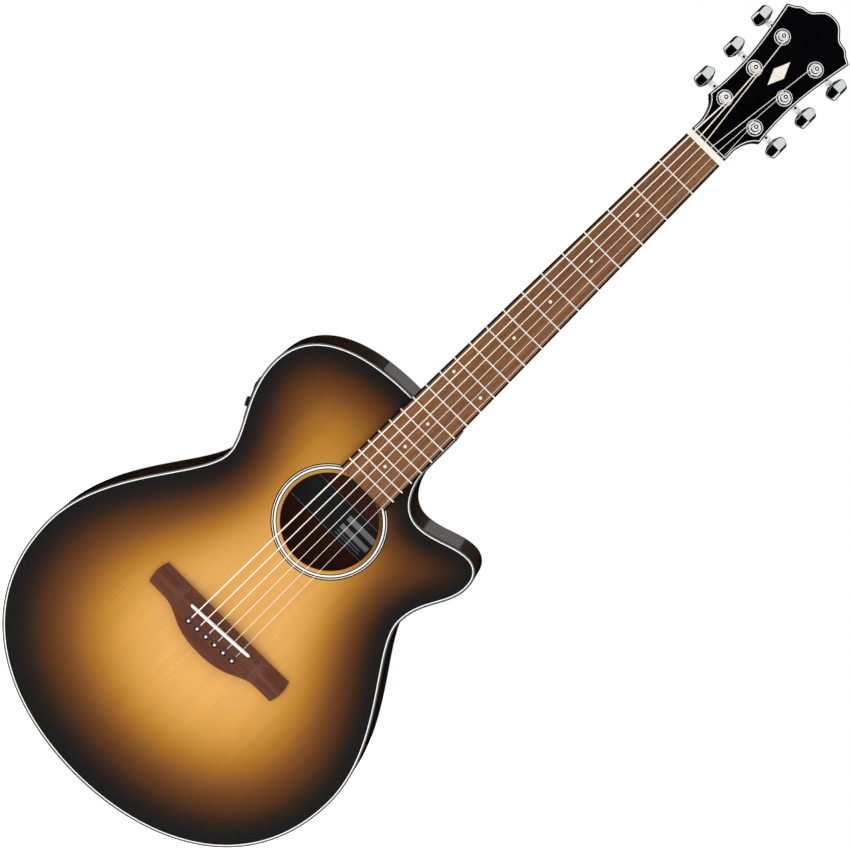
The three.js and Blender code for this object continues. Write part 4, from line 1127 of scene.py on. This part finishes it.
def tuner_key(number, side, place):
    """A worm shaft with a flat shield-shaped button, whose two faces meet at a ridge in line with it."""
    rod = [(-5, 1.3), (7.3, 1.3), (7.4, 1.9), (BUTTON_INNER + 1, 1.9)]
    shape = Shape()
    loops = []
    for x, radius in rod:
        loops.append([Vector((side * x, WORM_DEPTH + b, GEAR_CENTRES + a)) for a, b in circle(radius, 24)])
    shape.skin(loops)
    loops = []
    for x, above, below in BUTTON_EDGE:
        away = abs(2 * (x - BUTTON_INNER) / (BUTTON_OUTER - BUTTON_INNER) - 1)
        x = BUTTON_INNER + BUTTON_SHOWN * (x - BUTTON_INNER)
        thick = 3.4 * math.sqrt(max(0.12, 1 - away**6))
        section = button_section(above, below, thick)
        loops.append([Vector((side * x, WORM_DEPTH - d, GEAR_CENTRES + h)) for h, d in section])
    shape.skin(loops)
    piece = make(f"key_button_{number}", shape, [CHROME], [f"tuner_key_{number}"],
                 f"key_{number}", place, 40)
    crisp(piece, lambda p: abs(p.z - GEAR_CENTRES) < 0.01 and abs(p.x) > 21, place)


def tuning_machines():
    for side in (-1, 1):
        for k, (x, z) in enumerate(POSTS):
            number = k + 1 if side < 0 else 6 - k
            place = HEAD @ Matrix.Translation((side * x, 0, z))
            tuner_housing(number, side, place)
            string_post(number, place)
            tuner_key(number, side, place)


# ---- side preamp ----
def side_spot(t):
    """The point on the bass side's curve at t, and the way out of the body there."""
    p0, p1, p2, p3 = (Vector(p) for p in BASS_WAIST)
    s = 1 - t
    spot = p0 * s**3 + p1 * 3 * s * s * t + p2 * 3 * s * t * t + p3 * t**3
    way = ((p1 - p0) * 3 * s * s + (p2 - p1) * 6 * s * t + (p3 - p2) * 3 * t * t).normalized()
    return spot, Vector((way.y, -way.x))


def side_place(t, y):
    """A frame on the side whose +Y points out of the body and whose +Z runs down it."""
    spot, out = side_spot(t)
    down = Vector((-out.y, 0, out.x))
    return Matrix((
        (0, out.x, down.x, spot.x), (-1, 0, 0, y), (0, out.y, down.z, spot.y), (0, 0, 0, 1),
    ))


def on_side(t, y, proud):
    spot, out = side_spot(t)
    return Vector((spot.x + out.x * proud, y, spot.y + out.y * proud))


def side_sheet(t0, t1, y0, y1, corner, levels, finish=0):
    """A rounded plate that follows the curve of the side: levels are (inset, proud), outer face last."""
    middle_t, middle_y = (t0 + t1) / 2, (y0 + y1) / 2
    long = (side_spot(t0)[0] - side_spot(t1)[0]).length
    per_mm = (t1 - t0) / long
    outline = rounded_box(long / 2, (y1 - y0) / 2, corner, 6)

    def bend(u, v, proud):
        return on_side(middle_t + u * per_mm, middle_y + v, proud)

    dense = []
    for (x0, v0), (x1, v1) in zip(outline, outline[1:] + outline[:1]):
        parts = max(1, int(math.hypot(x1 - x0, v1 - v0) / 3))
        dense += [(x0 + (x1 - x0) * k / parts, v0 + (v1 - v0) * k / parts) for k in range(parts)]
    shape = Shape()
    shape.skin([[bend(u, v, proud) for u, v in inset(dense, d)] for d, proud in levels], finish,
               caps=(False, False))
    for distance, proud in (levels[0], levels[-1]):
        spots, triangles = fill(inset(dense, distance), [], 3)
        shape.add([bend(u, v, proud) for u, v in spots], triangles, finish)
    return shape


def preamp():
    plate = side_sheet(PLATE_START, PLATE_END, PLATE_FRONT, PLATE_BACK, 4,
                       [(0, 0.05), (0, 1.2), (0.25, 1.65), (0.8, 1.9)])
    make("preamp_plate", plate, [CASE_BLACK], ["preamp"], crease=45)
    screen = side_sheet(0.42, 0.5, 38.5, 47.5, 1.2, [(0, 1.5), (0, 2.0), (0.3, 2.1)])
    make("tuner_screen", screen, [SCREEN])
    lamps = Shape()
    for t in (0.29, 0.32):
        turned([(0.9, 1), (0.9, 2.1), (0.6, 2.4), (0, 2.5)], 20, 0, lamps, side_place(t, 43))
    make("tuner_lamps", lamps, [LAMP_RED])
    door = side_sheet(0.525, 0.6, 18.5, 49.5, 2, [(0, 1.6), (0, 2.05), (0.3, 2.2)])
    make("battery_door", door, [KNOB_BLACK])
    ticks = Shape()
    for t, y, radius in ((0.45, 29, 5.9), (0.29, 29, 4.6)):
        for k in range(11):
            angle = math.radians(-150 + 30 * k)
            at = side_place(t, y) @ Matrix.Rotation(angle, 4, "Y")
            block(ticks, (-0.16, 1.5, radius), (0.16, 1.96, radius + 1), 0, at)
    make("dial_ticks", ticks, [MARK_WHITE])


def knob(name, t, radius, proud, body, node):
    """A knurled knob with a white pointer line."""
    place = side_place(t, 29)
    foot = 2.2
    plain = turned([(1.9, -12), (1.9, foot + 0.1)], 24)
    grip = [(radius - 0.2, foot), (radius, foot + 0.2), (radius, proud - 0.8), (radius - 0.2, proud - 0.4),
            (radius - 0.6, proud - 0.1), (radius - 1.1, proud), (0, proud - 0.2)]
    shape = turned(grip, 120, 0, plain, None,
                   lambda angle: 1 + 0.018 * math.cos(24 * angle))
    block(shape, (-0.3, proud - 0.6, 1.2), (0.3, proud + 0.02, radius - 1), 1)
    make(name, shape, [KNOB_BLACK, MARK_WHITE], [node], body, place, 50)


def push_button():
    shape = turned([(2.5, -8), (2.5, 2.8), (2.35, 3.1), (2.0, 3.2), (0, 3.05)], 32)
    make("tuner_push_button", shape, [MARK_WHITE], ["tuner_button"], "tuner_button",
         side_place(0.37, 42), 50)


def output_jack():
    """An end-pin jack that is also the strap button; its bore is open."""
    place = Matrix.Translation((0, JACK_Y, TAIL_Z)) @ Matrix.Rotation(-TAU / 4, 4, "X")
    profile = [
        (3.25, -34), (6.2, -34), (6.2, 0.3), (7.7, 0.3), (8, 0.6), (8, 2.6), (7.7, 3.1), (6.4, 4),
        (5.6, 4.9), (5.4, 5.8), (5.6, 6.7), (6.4, 7.7), (7.3, 8.5), (7.6, 9), (7.6, 9.9), (7.2, 10.4),
        (6.6, 10.5), (3.9, 10.5), (3.5, 10.3), (3.25, 9.9),
    ]
    loops = [[place @ Vector((x, y, z)) for x, z in circle(r, 48)] for r, y in profile]
    shape = Shape()
    shape.skin(loops, wrap=True)
    make("end_pin_jack", shape, [CHROME], ["output_jack"], crease=40)


# ---- frame nodes that stay, with better finishes ----
def dress(material, *nodes):
    for node in nodes:
        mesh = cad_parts[node].data
        mesh.materials.clear()
        mesh.materials.append(material)


# ---- camera, floor and light ----
def camera():
    aim = Vector((-1.2, -6, -362))
    distance, rise, swing, roll = 4366, math.radians(9.5), math.radians(1), math.radians(45.11)
    back = Vector((-math.sin(swing) * math.cos(rise), -math.cos(swing) * math.cos(rise), math.sin(rise)))
    right = (-back).cross(Vector((0, 0, 1))).normalized()
    up = right.cross(-back)
    across = up * math.sin(roll) + right * math.cos(roll)
    upward = up * math.cos(roll) - right * math.sin(roll)
    lens = bpy.data.cameras.new("photo_camera")
    lens.lens = 200
    lens.sensor_width = 36
    lens.clip_start, lens.clip_end = 0.1, 100
    eye = bpy.data.objects.new("photo_camera", lens)
    turn = Matrix((across, upward, back)).transposed().to_4x4()
    eye.matrix_world = Matrix.Translation((aim + back * distance) * MM) @ turn
    bpy.context.collection.objects.link(eye)
    bpy.context.scene.camera = eye


def floor():
    """A small pale table, faintly lit from inside, so that it stays as white as the room."""
    level, radius = -0.8485, 1.1
    mesh = bpy.data.meshes.new("floor")
    mesh.from_pydata([(x * radius, z * radius, level) for x, z in circle(1, 64)], [], [list(range(64))])
    finish = Finish("pale_floor", 0.8, specular=0.1)
    finish.colour(finish.shade(srgb(250, 250, 250), finish.cloud(3, 3), 0.99, 1))
    finish.shader.inputs["Emission Color"].default_value = (1, 1, 1, 1)
    finish.shader.inputs["Emission Strength"].default_value = 0.9
    mesh.materials.append(finish.material)
    ground = bpy.data.objects.new("floor", mesh)
    ground.visible_glossy = False
    ground.visible_shadow = False
    bpy.context.collection.objects.link(ground)


def panel(name, place, target, size, radiance, diffuse=True):
    """A soft box that sends out the same light over its whole face."""
    lamp = bpy.data.lights.new(name, "AREA")
    lamp.shape = "RECTANGLE"
    lamp.size, lamp.size_y = size
    lamp.energy = radiance * math.pi * size[0] * size[1]
    box = bpy.data.objects.new(name, lamp)
    way = Vector(target) - Vector(place)
    box.matrix_world = Matrix.Translation(place) @ way.to_track_quat("-Z", "Y").to_matrix().to_4x4()
    box.visible_camera = False
    box.visible_diffuse = diffuse
    bpy.context.collection.objects.link(box)


def lights():
    world = bpy.data.worlds.new("white_room")
    world.use_nodes = True
    sky = world.node_tree.nodes["Background"]
    sky.inputs["Color"].default_value = (1, 1, 1, 1)
    sky.inputs["Strength"].default_value = 1
    world.cycles_visibility.glossy = False
    bpy.context.scene.world = world
    head = (0, 0, 0.1)
    panel("box_above", (0, -1.2, 1.8), head, (2.6, 1.5), 0.85)
    panel("box_top", (0, 0.3, 2.4), head, (2.4, 1.6), 0.8)
    panel("card_left", (-2.0, -1.8, 0), (0, 0, -0.2), (2.3, 2.8), 1.0, False)
    panel("card_right", (2.0, -1.8, 0), (0, 0, -0.2), (2.3, 2.8), 1.0, False)
    panel("card_low", (0, -0.9, -1.9), (0, 0, -0.2), (2.4, 1.2), 0.8, False)
    panel("box_behind_left", (-1.9, 1.7, 0.5), (0, 0, -0.4), (1.0, 1.6), 0.6)
    panel("box_behind_right", (1.9, 1.7, 0.5), (0, 0, -0.4), (1.0, 1.6), 0.6)
    panel("card_back_high", (0, 1.9, 1.5), (0, 0, 0), (2.2, 0.9), 0.9, False)
    panel("card_back_low", (0, 1.5, -1.7), (0, 0, 0.1), (3.2, 1.1), 0.6, False)
    panel("card_behind", (-0.0235, 1.0, -0.19), (-0.02, 0, -0.36), (0.167, 0.5), 0.2, False)


def look():
    scene = bpy.context.scene
    scene.view_settings.view_transform = "Standard"
    scene.view_settings.look = "None"


camera()
floor()
lights()
look()

soundboard()
rosette()
binding()
sides()
back_plate()
label()
neck_shaft()
headstock()
fingerboard()
frets()
position_dots()
nut()
bridge()
saddle()
bridge_pins()
strings()
tuning_machines()
preamp()
knob("volume_dial", 0.45, 4.8, 5.8, "volume_knob", "volume_knob")
knob("tone_dial", 0.29, 3.6, 3.4, "tone_knob", "tone_knob")
push_button()
output_jack()

dress(BRACE, "front_lining", "back_lining", "neck_block", "tail_block", "x_brace", "upper_brace",
      "tone_bar", "bridge_plate", "back_brace_upper", "back_brace_lower")
dress(FRET_METAL, "truss_rod")
dress(CASE_BLACK, "saddle_pickup")
